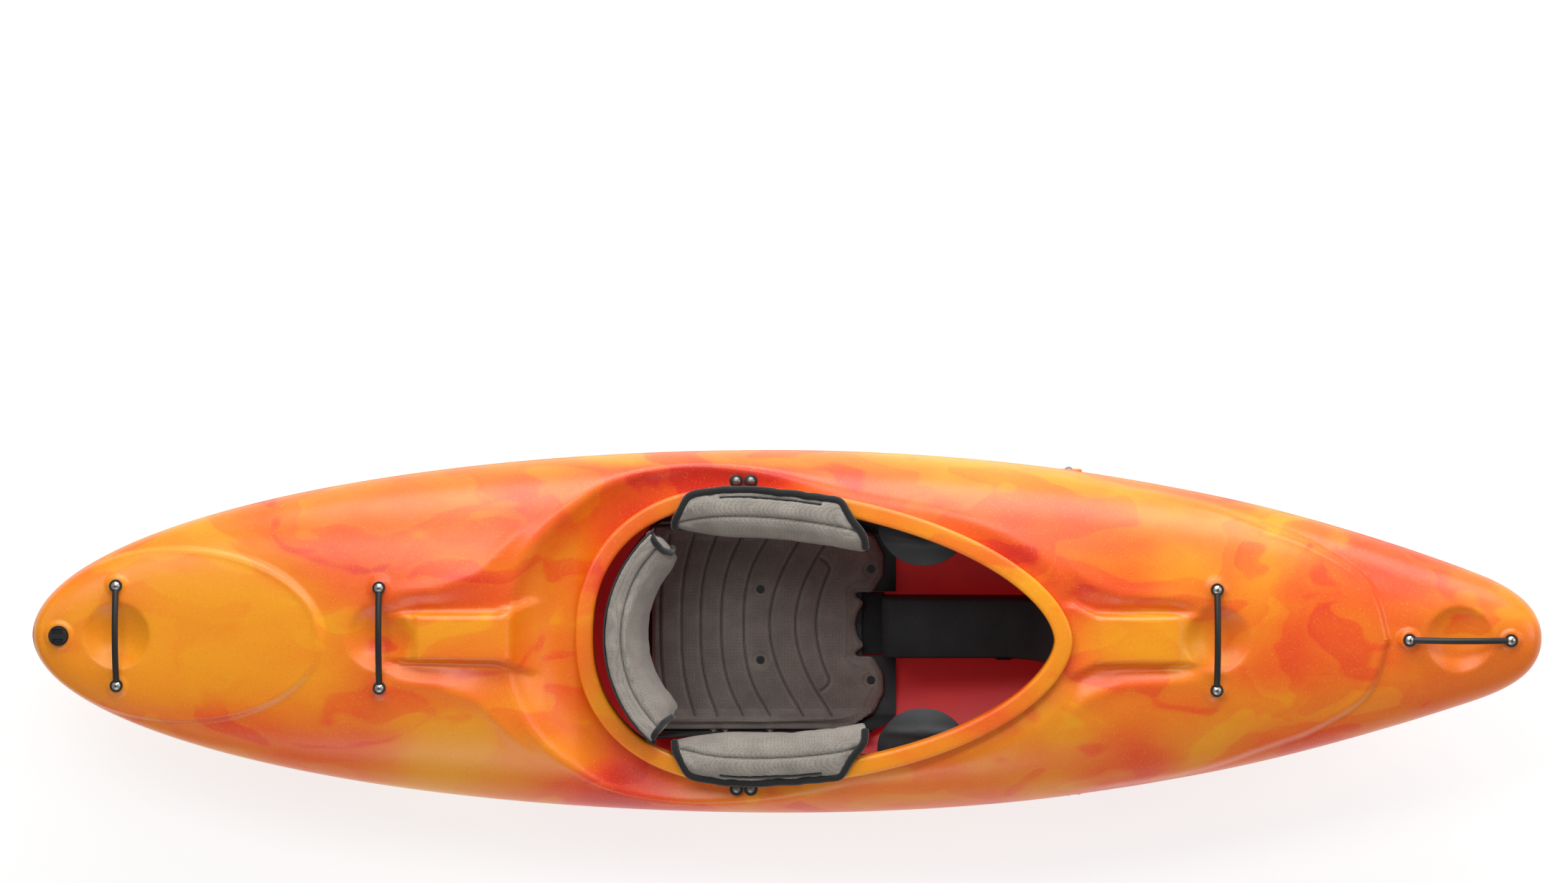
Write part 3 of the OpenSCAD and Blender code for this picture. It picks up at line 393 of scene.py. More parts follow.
# Spacer mesh: a knitted grid of small round holes, drawn about 2.5 mm apart so that it shows
def makeSpacerMesh(name, color, lighter, hole, pitch):
    mat, tree, shader = newMaterial(name, roughness=0.85, ior=1.45, Sheen_Weight=0.12, Sheen_Roughness=0.5)
    where = addNode(tree, "ShaderNodeTexCoord").outputs["Object"]
    cells = addNode(tree, "ShaderNodeTexVoronoi",
                    {"Vector": where, "Scale": 1 / pitch, "Randomness": 0.25}).outputs["Distance"]
    shade = addNode(tree, "ShaderNodeTexNoise", {"Vector": where, "Scale": 26.0, "Detail": 3.0}).outputs["Fac"]
    knit = addRamp(tree, shade, [(0.3, color), (0.7, lighter)])
    holes = addRamp(tree, cells, [(0.0, 1.0), (0.2, 1.0), (0.34, 0.0), (1.0, 0.0)])
    mixed = addNode(tree, "ShaderNodeMix", {0: holes, 6: knit, 7: hexColor(hole)}, data_type="RGBA").outputs[2]
    # The sewn lines are pressed in and a little darker
    sewn = addNode(tree, "ShaderNodeAttribute", attribute_name="seam").outputs["Fac"]
    stitched = addNode(tree, "ShaderNodeMix", {0: sewn, 6: mixed, 7: hexColor("2A2624")},
                       data_type="RGBA").outputs[2]
    tree.links.new(stitched, shader.inputs["Base Color"])
    addBump(tree, shader, cells, 0.0007)
    return mat


spacerMesh = makeSpacerMesh("spacerMesh", "878078", "989188", "4E4944", pitch=0.0024)
# The seat pad is the same fabric as the hip pads, drawn darker as painted shade for its place down in the
# cockpit
seatMeshPaintedShade = makeSpacerMesh("seatMeshPaintedShade", "756D67", "857D76", "4A4440", pitch=0.0026)

# Polyester webbing: warp and weft every 1.2 mm, drawn coarser than the real thread
def makeWebbing(name, color, lighter, pitch):
    mat, tree, shader = newMaterial(name, roughness=0.88, ior=1.45, Sheen_Weight=0.3, Sheen_Roughness=0.45)
    where = addNode(tree, "ShaderNodeTexCoord").outputs["Object"]
    threads = {"Vector": where, "Scale": 0.5 / pitch / 3.1416, "Distortion": 0.6, "Detail": 1.0}
    warp = addNode(tree, "ShaderNodeTexWave", threads, bands_direction="X").outputs["Fac"]
    weft = addNode(tree, "ShaderNodeTexWave", threads, bands_direction="Y").outputs["Fac"]
    weave = addNode(tree, "ShaderNodeMath", {0: warp, 1: weft}, operation="MULTIPLY").outputs[0]
    cloud = addNode(tree, "ShaderNodeTexNoise", {"Vector": where, "Scale": 18.0, "Detail": 5.0}).outputs["Fac"]
    tone = addNode(tree, "ShaderNodeMath", {0: weave, 1: 0.45, 2: cloud}, operation="MULTIPLY_ADD").outputs[0]
    tree.links.new(addRamp(tree, tone, [(0.35, color), (0.95, lighter)]), shader.inputs["Base Color"])
    addBump(tree, shader, weave, 0.0005)
    return mat


blackWebbing = makeWebbing("blackWebbing", "0B0A0C", "1C1A1D", pitch=0.0012)
print("materials made")


# The hull's lines, the same as the CAD part's: tables in millimetres along the stations, the rest in metres
hull = {
    "length": 2.620, "beam": 0.636, "wall": 0.006,
    "keel": [[0, 249], [0.05, 215], [0.1, 188], [0.2, 125], [0.3, 54], [0.4, 9], [0.5, -2], [0.6, 11],
             [0.7, 63], [0.8, 151], [0.9, 238], [0.95, 277], [1, 320]],
    "parting": [[0, 249], [0.05, 236], [0.1, 225], [0.2, 200], [0.3, 186], [0.42, 177], [0.5, 184],
                [0.6, 203], [0.7, 226], [0.8, 255], [0.9, 297], [0.95, 315], [1, 320]],
    "crown": [[0, 249], [0.05, 263], [0.1, 265], [0.2, 268], [0.3, 302], [0.37, 324], [0.45, 330],
              [0.53, 356], [0.6, 373], [0.7, 352], [0.8, 347], [0.9, 355], [0.95, 349], [1, 320]],
    "fineness": [[0, 1], [0.5, 1], [0.6, 0.978], [0.7, 0.921], [0.8, 0.846], [0.86, 0.85], [0.95, 0.98],
                 [1, 1]],
    "bilge": [[0, 2], [0.25, 2.3], [0.5, 3], [0.75, 2.4], [1, 2]],
    "deck": [[0, 2], [0.15, 3], [0.25, 2.6], [0.35, 2.2], [0.5, 2.3], [0.6, 2.5], [0.7, 2.3], [0.85, 2.1],
             [1, 2]],
    "rimTop": [[0, 274], [0.06, 262], [0.16, 257], [0.25, 261], [0.37, 283], [0.49, 314], [0.58, 335],
               [0.68, 350], [0.82, 365], [1, 383]],
}
rim = {"length": 0.859, "width": 0.520, "back": 0.363, "lip": 0.031, "lipHeight": 0.014, "stand": 0.030,
       "widest": 0.293, "backPower": 2.25, "frontPower": 1.82,
       "recessClimb": 0.011, "recessFlare": 6.0, "recessBlend": 0.014}
rimWideX = rim["widest"] - rim["back"]
rimFront = rim["length"] - rim["back"]


def fair(table, s):
    t = np.array(table, float)
    s = np.asarray(s, float)
    i = np.clip(np.searchsorted(t[:, 0], s, side="left") - 1, 0, len(t) - 2)
    ahead, behind = np.vstack([t[1:], t[-1:]]), np.vstack([t[:1], t[:-1]])
    slopes = (ahead[:, 1] - behind[:, 1]) / (ahead[:, 0] - behind[:, 0])
    h = t[i + 1, 0] - t[i, 0]
    u = np.clip((s - t[i, 0]) / h, 0, 1)
    return ((2 * u ** 3 - 3 * u ** 2 + 1) * t[i, 1] + (u ** 3 - 2 * u ** 2 + u) * h * slopes[i]
            + (3 * u ** 2 - 2 * u ** 3) * t[i + 1, 1] + (u ** 3 - u ** 2) * h * slopes[i + 1])


def station(x):
    return np.arccos(np.clip(-2 * x / hull["length"], -1, 1)) / math.pi


def stationX(s):
    return -np.cos(math.pi * s) * hull["length"] / 2


def halfBreadth(x):
    s = station(x)
    return hull["beam"] / 2 * np.sin(math.pi * s) * fair(hull["fineness"], s)


def partingZ(x):
    return fair(hull["parting"], station(x)) * mm


def keelZ(x):
    return fair(hull["keel"], station(x)) * mm


def blendLow(a, b, k):
    h = np.clip(0.5 + 0.5 * (b - a) / k, 0, 1)
    return b * (1 - h) + a * h - k * h * (1 - h)


def smoothStep(edge0, edge1, v):
    t = np.clip((v - edge0) / (edge1 - edge0), 0, 1)
    return t * t * (3 - 2 * t)


def rimTop(x):
    return fair(hull["rimTop"], np.clip((x + rim["back"]) / rim["length"], 0, 1)) * mm


def recessZ(x):
    return rimTop(x) - rim["stand"] + rim["recessClimb"] * np.clip((x + rim["back"]) / rim["length"], 0, 1)


def rimReach(dx):
    return np.where(dx > 0, rim["length"] - rim["widest"], rim["widest"])


def rimPower(dx):
    return np.where(dx > 0, rim["frontPower"], rim["backPower"])


def rimGrowth(x, y):
    dx = x - rimWideX
    m = rimPower(dx)
    return ((np.abs(dx) / rimReach(dx)) ** m + (np.abs(y) / (rim["width"] / 2)) ** m) ** (1 / m)


def rimGap(x, y):
    g = np.maximum(1, rimGrowth(x, y))
    return (1 - 1 / g) * np.hypot(x - rimWideX, y)


def crownedZ(x, y):
    s = station(x)
    n = fair(hull["deck"], s)
    b = np.maximum(halfBreadth(x), 1e-6)
    z = partingZ(x)
    return z + (fair(hull["crown"], s) * mm - z) * np.maximum(0,
                                                              1 - np.clip(np.abs(y) / b, 0, 1) ** n) ** (1 / n)


def plainDeckZ(x, y):
    top = crownedZ(x, y)
    gap = rimGap(x, y)
    recess = recessZ(x) + rim["recessFlare"] * gap ** 2
    return np.maximum(partingZ(x), blendLow(top, recess, rim["recessBlend"]))


# The fittings' places, the same as the CAD part's
loops = {
    "span": 0.174, "rise": 0.003, "bossRadius": 0.014, "wellRadius": 0.058, "wellDepth": 0.024,
    "places": [(-1.162, True), (-rim["back"] - 0.338, True), (rimFront + 0.250, True), (1.165, False)],
}
troughs = [
    {"depth": 0.017, "block": (-0.640, -0.468), "along": [-0.710, -0.640, -0.470, -0.415],
     "pad": [(-0.70, 0.040), (-0.50, 0.041), (-0.44, 0.062)],
     "ridge": [(-0.70, 0.074), (-0.60, 0.086), (-0.53, 0.112), (-0.47, 0.175), (-0.43, 0.21)]},
    {"depth": 0.016, "block": (0.541, 0.684), "along": [0.470, 0.520, 0.650, 0.745],
     "pad": [(0.50, 0.062), (0.54, 0.043), (0.72, 0.043)],
     "ridge": [(0.47, 0.150), (0.52, 0.105), (0.58, 0.080), (0.72, 0.072)]},
]


def distanceToLine(x, y, line):
    best = np.full(np.shape(x), 1e9)
    for (ax, ay), (bx, by) in zip(line[:-1], line[1:]):
        dx, dy = bx - ax, by - ay
        t = np.clip(((x - ax) * dx + (y - ay) * dy) / (dx * dx + dy * dy), 0, 1)
        best = np.minimum(best, np.hypot(x - ax - t * dx, y - ay - t * dy))
    return best


def smoothLine(points, steps=8):
    p = np.array(points, float)
    out = []
    for i in range(len(p) - 1):
        p0, p1, p2, p3 = p[max(i - 1, 0)], p[i], p[i + 1], p[min(i + 2, len(p) - 1)]
        for k in range(steps):
            t = k / steps
            out.append(0.5 * (2 * p1 + (p2 - p0) * t + (2 * p0 - 5 * p1 + 4 * p2 - p3) * t * t
                              + (3 * p1 - p0 - 3 * p2 + p3) * t ** 3))
    out.append(p[-1])
    return [tuple(q) for q in out]


# Edges moulded into the deck: the front plateau and the oval step at the stern
plateau = {
    "edge": smoothLine([(0.489, 0.270), (0.702, 0.236), (0.833, 0.189), (0.918, 0.155), (1.006, 0.094),
                        (1.038, 0.0)]),
    "tip": 1.038, "corner": 0.010, "drop": 0.0090, "bead": 0.0015,
}
sternOval = {"middle": -1.053, "half": 0.247, "width": 0.149, "corner": 0.006, "drop": 0.0046, "bead": 0.0012}
trough = {"wall": (-0.005, 0.006), "ridgeRise": 0.0018, "blockHalf": 0.041, "blockRise": 0.0042}
drainSeat = {"x": -1.262, "flat": 0.0205, "edge": 0.027}


# A step down past an edge, which fades back to the plain deck over about 50 mm
def stepDown(d, corner, fade=0.05):
    return smoothStep(0, corner, d) * np.exp(-np.maximum(d - corner, 0) / fade)


def bead(d, at, width):
    return np.exp(-((d - at) / width) ** 2)


def loopEnd(middle, across, side):
    half = side * loops["span"] / 2
    return (middle, half) if across else (middle + half, 0.0)


def bossLevel(x, y):
    return float(plainDeckZ(np.array(x), np.array(y))) + loops["rise"]


# The finished deck: wells, grooves, bosses and moulded edges on the plain crown
def deckZ(x, y):
    z = plainDeckZ(x, y)
    ay = np.abs(y)
    # Plateau: the deck drops a little just outside its edge
    edge = np.array(plateau["edge"])
    order = np.argsort(edge[:, 0])
    edgeY = np.interp(x, edge[order, 0], edge[order, 1], left=0.33, right=0.0)
    d = distanceToLine(x, ay, plateau["edge"])
    outside = (ay > edgeY) | (x > plateau["tip"])
    reach = smoothStep(0.47, 0.60, x)
    drop = np.where(outside, stepDown(d, plateau["corner"]), 0)
    z = z - plateau["drop"] * drop * reach * smoothStep(1.22, 1.10, x)
    z = z + plateau["bead"] * bead(d, 0.004, 0.006) * reach * np.where(outside, 0, 1)
    # Oval step
    q = np.hypot((x - sternOval["middle"]) / sternOval["half"], y / sternOval["width"])
    d = (q - 1) * sternOval["width"]
    drop = sternOval["drop"] * stepDown(d, sternOval["corner"])
    z = z + (sternOval["bead"] * bead(d, -0.002, 0.004) - drop) * np.where(x < -0.6, 1, 0)
    # Troughs either side of the raised pads: a steep wall at the pad, then a floor that climbs to a soft ridge
    for t in troughs:
        start, deepFrom, deepTo, end = t["along"]
        deep = smoothStep(start, deepFrom, x) * smoothStep(end, deepTo, x)
        pad = np.interp(x, *zip(*t["pad"]))
        ridge = np.interp(x, *zip(*t["ridge"]))
        u = np.clip((ay - pad) / (ridge - pad), 0, 1)
        z = z - t["depth"] * deep * smoothStep(*trough["wall"], ay - pad) * (1 - u * u * (3 - 2 * u))
        z = z + trough["ridgeRise"] * deep * bead(ay, ridge, 0.012)
        # The pad itself is a low block with its own ends
        reach = np.minimum(np.minimum(x - t["block"][0], t["block"][1] - x), trough["blockHalf"] - ay)
        z = z + trough["blockRise"] * smoothStep(-0.004, 0.005, reach)
    # Hand wells
    for middle, across in loops["places"]:
        r = np.hypot(x - middle, y) / loops["wellRadius"]
        bowl = 1 - r ** 2
        z = z - 0.9 * loops["wellDepth"] * (bowl + np.sqrt(bowl ** 2 + 0.006)) / 2 * smoothStep(1.35, 1.05, r)
    # Flat bosses under the eyelets
    for middle, across in loops["places"]:
        for side in (-1, 1):
            bx, by = loopEnd(middle, across, side)
            level = bossLevel(bx, by)
            if not across:
                other = bossLevel(*loopEnd(middle, across, -side))
                level = level + (level - other) / loops["span"] * (x - bx)
            d = np.hypot(x - bx, y - by)
            w = 1 - smoothStep(loops["bossRadius"], loops["bossRadius"] + 0.007, d)
            z = z * (1 - w) + level * w
    # Seat for the drain
    d = np.hypot(x - drainSeat["x"], y)
    w = 1 - smoothStep(drainSeat["flat"], drainSeat["edge"], d)
    return z * (1 - w) + bossLevel(drainSeat["x"], 0.0) * w


# Columns crowd together towards the parting line, where the section turns fastest
def evenAngle(j, power=1.5):
    return (math.pi / 2) * j ** power / (j ** power + (1 - j) ** power)


# Rounded ridge where the two halves of the mould met
mouldSeam = {"high": 0.0013, "over": 0.0015, "wide": 0.0022}

def seamRidge(z, zSeam):
    return mouldSeam["high"] * bead(z - zSeam, mouldSeam["over"], mouldSeam["wide"])


skin = {
    "stations": 640, "deckColumns": 150, "hullColumns": 90,
    "liningStations": 320, "liningColumns": 110, "hullLiningColumns": 64,
    "deckUnderRim": 0.020, "liningUnderRim": 0.022, "deckLiningDrop": 0.002,
}


# Plan outline of a skin, a row for each station and a column for each place round its section
def sectionGrid(count, columns, inset, fullness):
    s = (np.arange(count) + 0.5) / count * 0.9985 + 0.00075
    x = stationX(s) * (1 - 3 * inset / hull["length"])
    half = np.array([evenAngle(j) for j in np.linspace(0, 1, columns // 2 + 1)])
    angle = np.concatenate([half, math.pi - half[-2::-1]])
    X = np.repeat(x[:, None], len(angle), axis=1)
    n = fair(fullness, station(X))
    c, d = np.cos(angle)[None, :], np.abs(np.sin(angle))[None, :]
    b = halfBreadth(X)
    return X, b * np.sign(c) * np.abs(c) ** (2 / n), b, n, d


def deckGrid(count, columns, inset=0.0):
    X, Y, b, n, d = sectionGrid(count, columns, inset, hull["deck"])
    Z = deckZ(X, Y)
    ridge = seamRidge(Z, partingZ(X)) if not inset else 0
    return X, Y * (b - inset + ridge) / b, Z - inset * d ** 0.4


def hullGrid(count, columns, inset=0.0):
    X, Y, b, n, d = sectionGrid(count, columns, inset, hull["bilge"])
    a, k = partingZ(X), keelZ(X)
    Z = np.maximum(0, a - (a - k) * d ** (2 / n))
    lean = np.hypot(1, (keelZ(X + 0.004) - keelZ(X - 0.004)) / 0.008)
    ridge = seamRidge(2 * a - Z, a) if not inset else 0
    return X, Y * (b - inset + ridge) / b, Z + inset * lean * d ** 0.4


# How far in from the rim's outer edge a point lies, along the line to the rim's widest place
def insideRim(x, y):
    g = np.maximum(rimGrowth(x, y), 1e-6)
    return np.hypot(x - rimWideX, y) * (1 / g - 1)


def skinObject(name, grid, material, flip, hole=None):
    X, Y, Z = grid
    points = np.stack([X, Y, Z], axis=-1).reshape(-1, 3)
    faces = gridFaces(*X.shape, flip=flip)
    if hole is not None:
        fx = (X[:-1, :-1] + X[1:, 1:]) / 2
        fy = (Y[:-1, :-1] + Y[1:, 1:]) / 2
        keep = (insideRim(fx, fy) < hole).reshape(-1)
        faces = [f for f, k in zip(faces, keep) if k]
        used = np.zeros(len(points), bool)
        used[np.array(faces).reshape(-1)] = True
        index = np.cumsum(used) - 1
        points = points[used]
        faces = [tuple(int(index[v]) for v in f) for f in faces]
    return makeMesh(name, points, faces, material)


deckSkin = skinObject("deckSkin", deckGrid(skin["stations"], skin["deckColumns"]), mouldedPolyethylene,
                      False, skin["deckUnderRim"])
hullSkin = skinObject("hullSkin", hullGrid(skin["stations"], skin["hullColumns"]), mouldedPolyethylene, True)
deckInner = deckGrid(skin["liningStations"], skin["liningColumns"], hull["wall"] + skin["deckLiningDrop"])
hullInner = hullGrid(skin["liningStations"], skin["hullLiningColumns"], hull["wall"])
deckLining = skinObject("deckLining", deckInner, polyethyleneInside, True, skin["liningUnderRim"])
hullLining = skinObject("hullLining", hullInner, polyethyleneInside, False)
for obj, node in ((deckSkin, "deck_shell"), (hullSkin, "hull_shell"), (deckLining, "deck_shell"),
                  (hullLining, "hull_shell")):
    addTone(obj, pigmentAndPaintedHighlight)
    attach(obj, rootBody)
    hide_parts(node)
print("skins made", len(deckSkin.data.polygons), len(hullSkin.data.polygons))


def signedPower(v, k):
    return np.sign(v) * np.abs(v) ** k


def rimEdge(angle):
    c = np.cos(angle)
    k = 2 / rimPower(c)
    along = rimWideX + rimReach(c) * signedPower(c, k)
    return np.stack([along, rim["width"] / 2 * signedPower(np.sin(angle), k)], axis=-1)


def evenRim(count):
    fine = np.linspace(0, 2 * math.pi, 4000, endpoint=False)
    p = rimEdge(fine)
    steps = np.hypot(*(np.roll(p, -1, axis=0) - p).T)
    along = np.concatenate([[0], np.cumsum(steps)])
    want = np.linspace(0, along[-1], count, endpoint=False)
    x = np.interp(want, along, np.append(p[:, 0], p[0, 0]))
    y = np.interp(want, along, np.append(p[:, 1], p[0, 1]))
    p = np.stack([x, y], axis=-1)
    t = np.roll(p, -2, axis=0) - np.roll(p, 2, axis=0)
    normal = np.stack([t[:, 1], -t[:, 0]], axis=-1) / np.hypot(t[:, 0], t[:, 1])[:, None]
    return p, normal


# Cockpit rim: one moulded ring, filleted into the deck. Each pair is how far in from the outer edge
# a line of the section lies, and its height over the deck, the flange's underside or the top
rimSection = {
    "fillet": [(0.002, -0.0012), (0.007, -0.0002), (0.012, 0.0010), (0.0165, 0.0032), (0.020, 0.0068),
               (0.0225, 0.012)],
    "underside": [(0.024, -0.004), (0.022, -0.0005), (0.010, 0.0005), (0.0035, 0.0005), (0.001, 0.0018),
                  (0.0, 0.0045)],
    "top": [(0.0, -0.0045), (0.0011, -0.0017), (0.0032, -0.0003), (0.0070, 0.0),
            (0.0235, 0.0), (0.0275, -0.0004), (0.0300, -0.0020), (0.0310, -0.0048)],
    "foot": 0.014,
}

def rimRings(count):
    p, normal = evenRim(count)
    top = rimTop(p[:, 0])
    under = top - rim["lipHeight"]
    lip, wallIn = rim["lip"], rim["lip"] - hull["wall"]
    rows = []
    def ring(inset, z):
        rows.append(np.column_stack([p - normal * inset, z]))
    for inset, lift in rimSection["fillet"]:
        q = p - normal * inset
        ring(inset, np.minimum(plainDeckZ(q[:, 0], q[:, 1]) + lift, under - 0.001))
    for inset, lift in rimSection["underside"]:
        ring(inset, under + lift)
    for inset, lift in rimSection["top"]:
        ring(inset, top + lift)
    # Down the inside of the cockpit, round the foot and back up under the deck
    low = recessZ(p[:, 0])
    foot = low - rimSection["foot"]
    inner = top + rimSection["top"][-1][1]
    for k in (0.25, 0.5, 0.75, 1.0):
        ring(lip, inner + (foot - inner) * k)
    ring(lip - 0.0015, foot - 0.0015)
    ring(wallIn + 0.001, foot - 0.0015)
    ring(wallIn - 0.002, low - 0.009)
    ring(0.010, low - 0.008)
    return np.stack(rows, axis=1)


rings = rimRings(420)
rimFaces = gridFaces(rings.shape[0], rings.shape[1], True, True)
rimSkin = makeMesh("cockpitRimSkin", rings.reshape(-1, 3), rimFaces, mouldedPolyethylene)
faceOutwards(rimSkin)
bpy.ops.object.shade_smooth_by_angle(angle=math.radians(55))
addTone(rimSkin, rimPigment, 0.34)
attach(rimSkin, rootBody)
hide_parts("cockpit_rim")
print("rim made")


# Soft pieces are copied from the CAD's plain solids, remeshed, swollen as cloth, then sewn
cloth = {"voxel": 0.005, "quickVoxels": 1.6, "frames": 20, "pressure": 4.0, "mass": 0.3, "stretch": 15,
         "bend": 0.5, "quality": 5, "relax": 0.5, "relaxTimes": 2}

def softCopy(nodeName, material, warp):
    mesh = nodes[nodeName].data.copy()
    mesh.materials.clear()
    mesh.materials.append(material)
    obj = bpy.data.objects.new(nodeName + "Soft", mesh)
    bpy.context.scene.collection.objects.link(obj)
    bm = bmesh.new()
    bm.from_mesh(mesh)
    bmesh.ops.remove_doubles(bm, verts=bm.verts, dist=0.00005)
    bmesh.ops.recalc_face_normals(bm, faces=bm.faces)
    bmesh.ops.subdivide_edges(bm, edges=[e for e in bm.edges if e.calc_length() > 0.02], cuts=2,
                              use_grid_fill=False)
    bmesh.ops.triangulate(bm, faces=bm.faces)
    bm.to_mesh(mesh)
    bm.free()
    setPoints(obj, warp(getPoints(obj)))
    return obj


def getPoints(obj):
    co = np.empty(len(obj.data.vertices) * 3)
    obj.data.vertices.foreach_get("co", co)
    return co.reshape(-1, 3)


def setPoints(obj, points):
    obj.data.vertices.foreach_set("co", np.asarray(points).reshape(-1))
    obj.data.update()


def getNormals(obj):
    co = np.empty(len(obj.data.vertices) * 3)
    obj.data.vertices.foreach_get("normal", co)
    return co.reshape(-1, 3)


def swell(obj, cap, free, voxel=cloth["voxel"]):
    remesh = obj.modifiers.new("remesh", "REMESH")
    remesh.mode = "VOXEL"
    remesh.voxel_size = voxel * 1
    remesh.use_smooth_shade = True
    applyModifiers(obj)
    before = getPoints(obj)
    sheet = obj.modifiers.new("cloth", "CLOTH")
    sheet.settings.quality = cloth["quality"]
    sheet.settings.mass = cloth["mass"]
    sheet.settings.use_pressure = True
    sheet.settings.uniform_pressure_force = cloth["pressure"]
    sheet.settings.tension_stiffness = sheet.settings.compression_stiffness = cloth["stretch"]
    sheet.settings.bending_stiffness = cloth["bend"]
    sheet.settings.effector_weights.gravity = 0
    sheet.point_cache.frame_start, sheet.point_cache.frame_end = 1, cloth["frames"]
    for f in range(1, cloth["frames"] + 1):
        bpy.context.scene.frame_set(f)
    applyModifiers(obj)
    bpy.context.scene.frame_set(1)
    # No point moves further than the cap, and less where the piece rests on something
    moved = getPoints(obj) - before
    far = np.linalg.norm(moved, axis=1)
    moved = moved * (np.minimum(far, cap * free(before)) / np.maximum(far, 1e-9))[:, None]
    setPoints(obj, before + moved)
    relax = obj.modifiers.new("relax", "SMOOTH")
    relax.factor = cloth["relax"]
    relax.iterations = cloth["relaxTimes"]
    finer = obj.modifiers.new("finer", "SUBSURF")
    finer.levels = finer.render_levels = 1
    applyModifiers(obj)
    obj.data.polygons.foreach_set("use_smooth", [True] * len(obj.data.polygons))


# Sewn lines seen from above: each presses a groove into the upper side and darkens it
def sew(obj, lines, width, depth, upward=0.15):
    points, normals = getPoints(obj), getNormals(obj)
    best = np.full(len(points), 1.0)
    for line in lines:
        best = np.minimum(best, distanceToLine(points[:, 0], points[:, 1], line))
    facing = np.clip((normals[:, 2] - upward) / 0.25, 0, 1)
    near = np.exp(-(best / width) ** 2) * facing
    setPoints(obj, points - normals * (near * depth)[:, None])
    made = obj.data.attributes.new("seam", "FLOAT", "POINT")
    made.data.foreach_set("value", (np.exp(-(best / 0.0016) ** 2) * facing * 0.9).astype(np.float32))


def snapPath(obj, path, lift):
    out = []
    for p in path:
        _, place, normal, _ = obj.closest_point_on_mesh(Vector(p))
        out.append(np.array(place) + np.array(normal) * lift)
    return np.array(out)


def evenPath(points, step):
    p = np.array(points, float)
    along = np.concatenate([[0], np.cumsum(np.linalg.norm(np.diff(p, axis=0), axis=1))])
    want = np.linspace(0, along[-1], max(3, int(along[-1] / step)) + 1)
    return np.stack([np.interp(want, along, p[:, k]) for k in range(3)], axis=-1)


def calmPath(p, times=2, closed=False):
    for _ in range(times):
        q = p.copy()
        if closed:
            q = (np.roll(p, 1, axis=0) + 2 * p + np.roll(p, -1, axis=0)) / 4
        else:
            q[1:-1] = (p[:-2] + 2 * p[1:-1] + p[2:]) / 4
        p = q
    return p


def makeTube(name, path, radius, material, sides=12, flat=1.0, up=(0, 0, 1)):
    p = np.array(path, float)
    tangent = np.gradient(p, axis=0)
    tangent /= np.linalg.norm(tangent, axis=1)[:, None]
    side = np.cross(tangent, np.array(up, float))
    side /= np.maximum(np.linalg.norm(side, axis=1), 1e-6)[:, None]
    over = np.cross(side, tangent)
    turns = np.linspace(0, 2 * math.pi, sides, endpoint=False)[None, :, None]
    ring = p[:, None, :] + radius * (np.cos(turns) * side[:, None, :] + flat * np.sin(turns) * over[:, None, :])
    # A point a little past each end closes it
    ends = [p[0] - tangent[0] * radius * 0.6, p[-1] + tangent[-1] * radius * 0.6]
    points = np.vstack([ring.reshape(-1, 3), ends])
    faces = gridFaces(len(p), sides, False, True)
    last = (len(p) - 1) * sides
    for j in range(sides):
        k = (j + 1) % sides
        faces.append((len(points) - 2, k, j))
        faces.append((len(points) - 1, last + j, last + k))
    obj = makeMesh(name, points, faces, material)
    faceOutwards(obj)
    return obj


def rimHalf(x):
    dx = np.asarray(x, float) - rimWideX
    m = rimPower(dx)
    return rim["width"] / 2 * np.maximum(0, 1 - (np.abs(dx) / rimReach(dx)) ** m) ** (1 / m)


# Hip pads: folded over the rim, cut on a slant at both ends, two long stitch lines and a webbing slot
hipPad = {
    "back": (-0.165, -0.204), "front": (0.098, 0.143), "slantOver": 0.062, "cap": 0.006,
    "seam": (0.050, 0.02, 0.98), "slot": (0.014, 0.22, 0.84), "seamWidth": 0.0038, "seamDepth": 0.0030,
    "binding": 0.0068, "bindingLift": 0.0022, "slotTape": 0.0022, "step": 0.004,
}

def hipX(s, inset):
    f = np.clip(inset / hipPad["slantOver"], 0, 1)
    back = hipPad["back"][0] + (hipPad["back"][1] - hipPad["back"][0]) * f
    front = hipPad["front"][0] + (hipPad["front"][1] - hipPad["front"][0]) * f
    return back + s * (front - back)


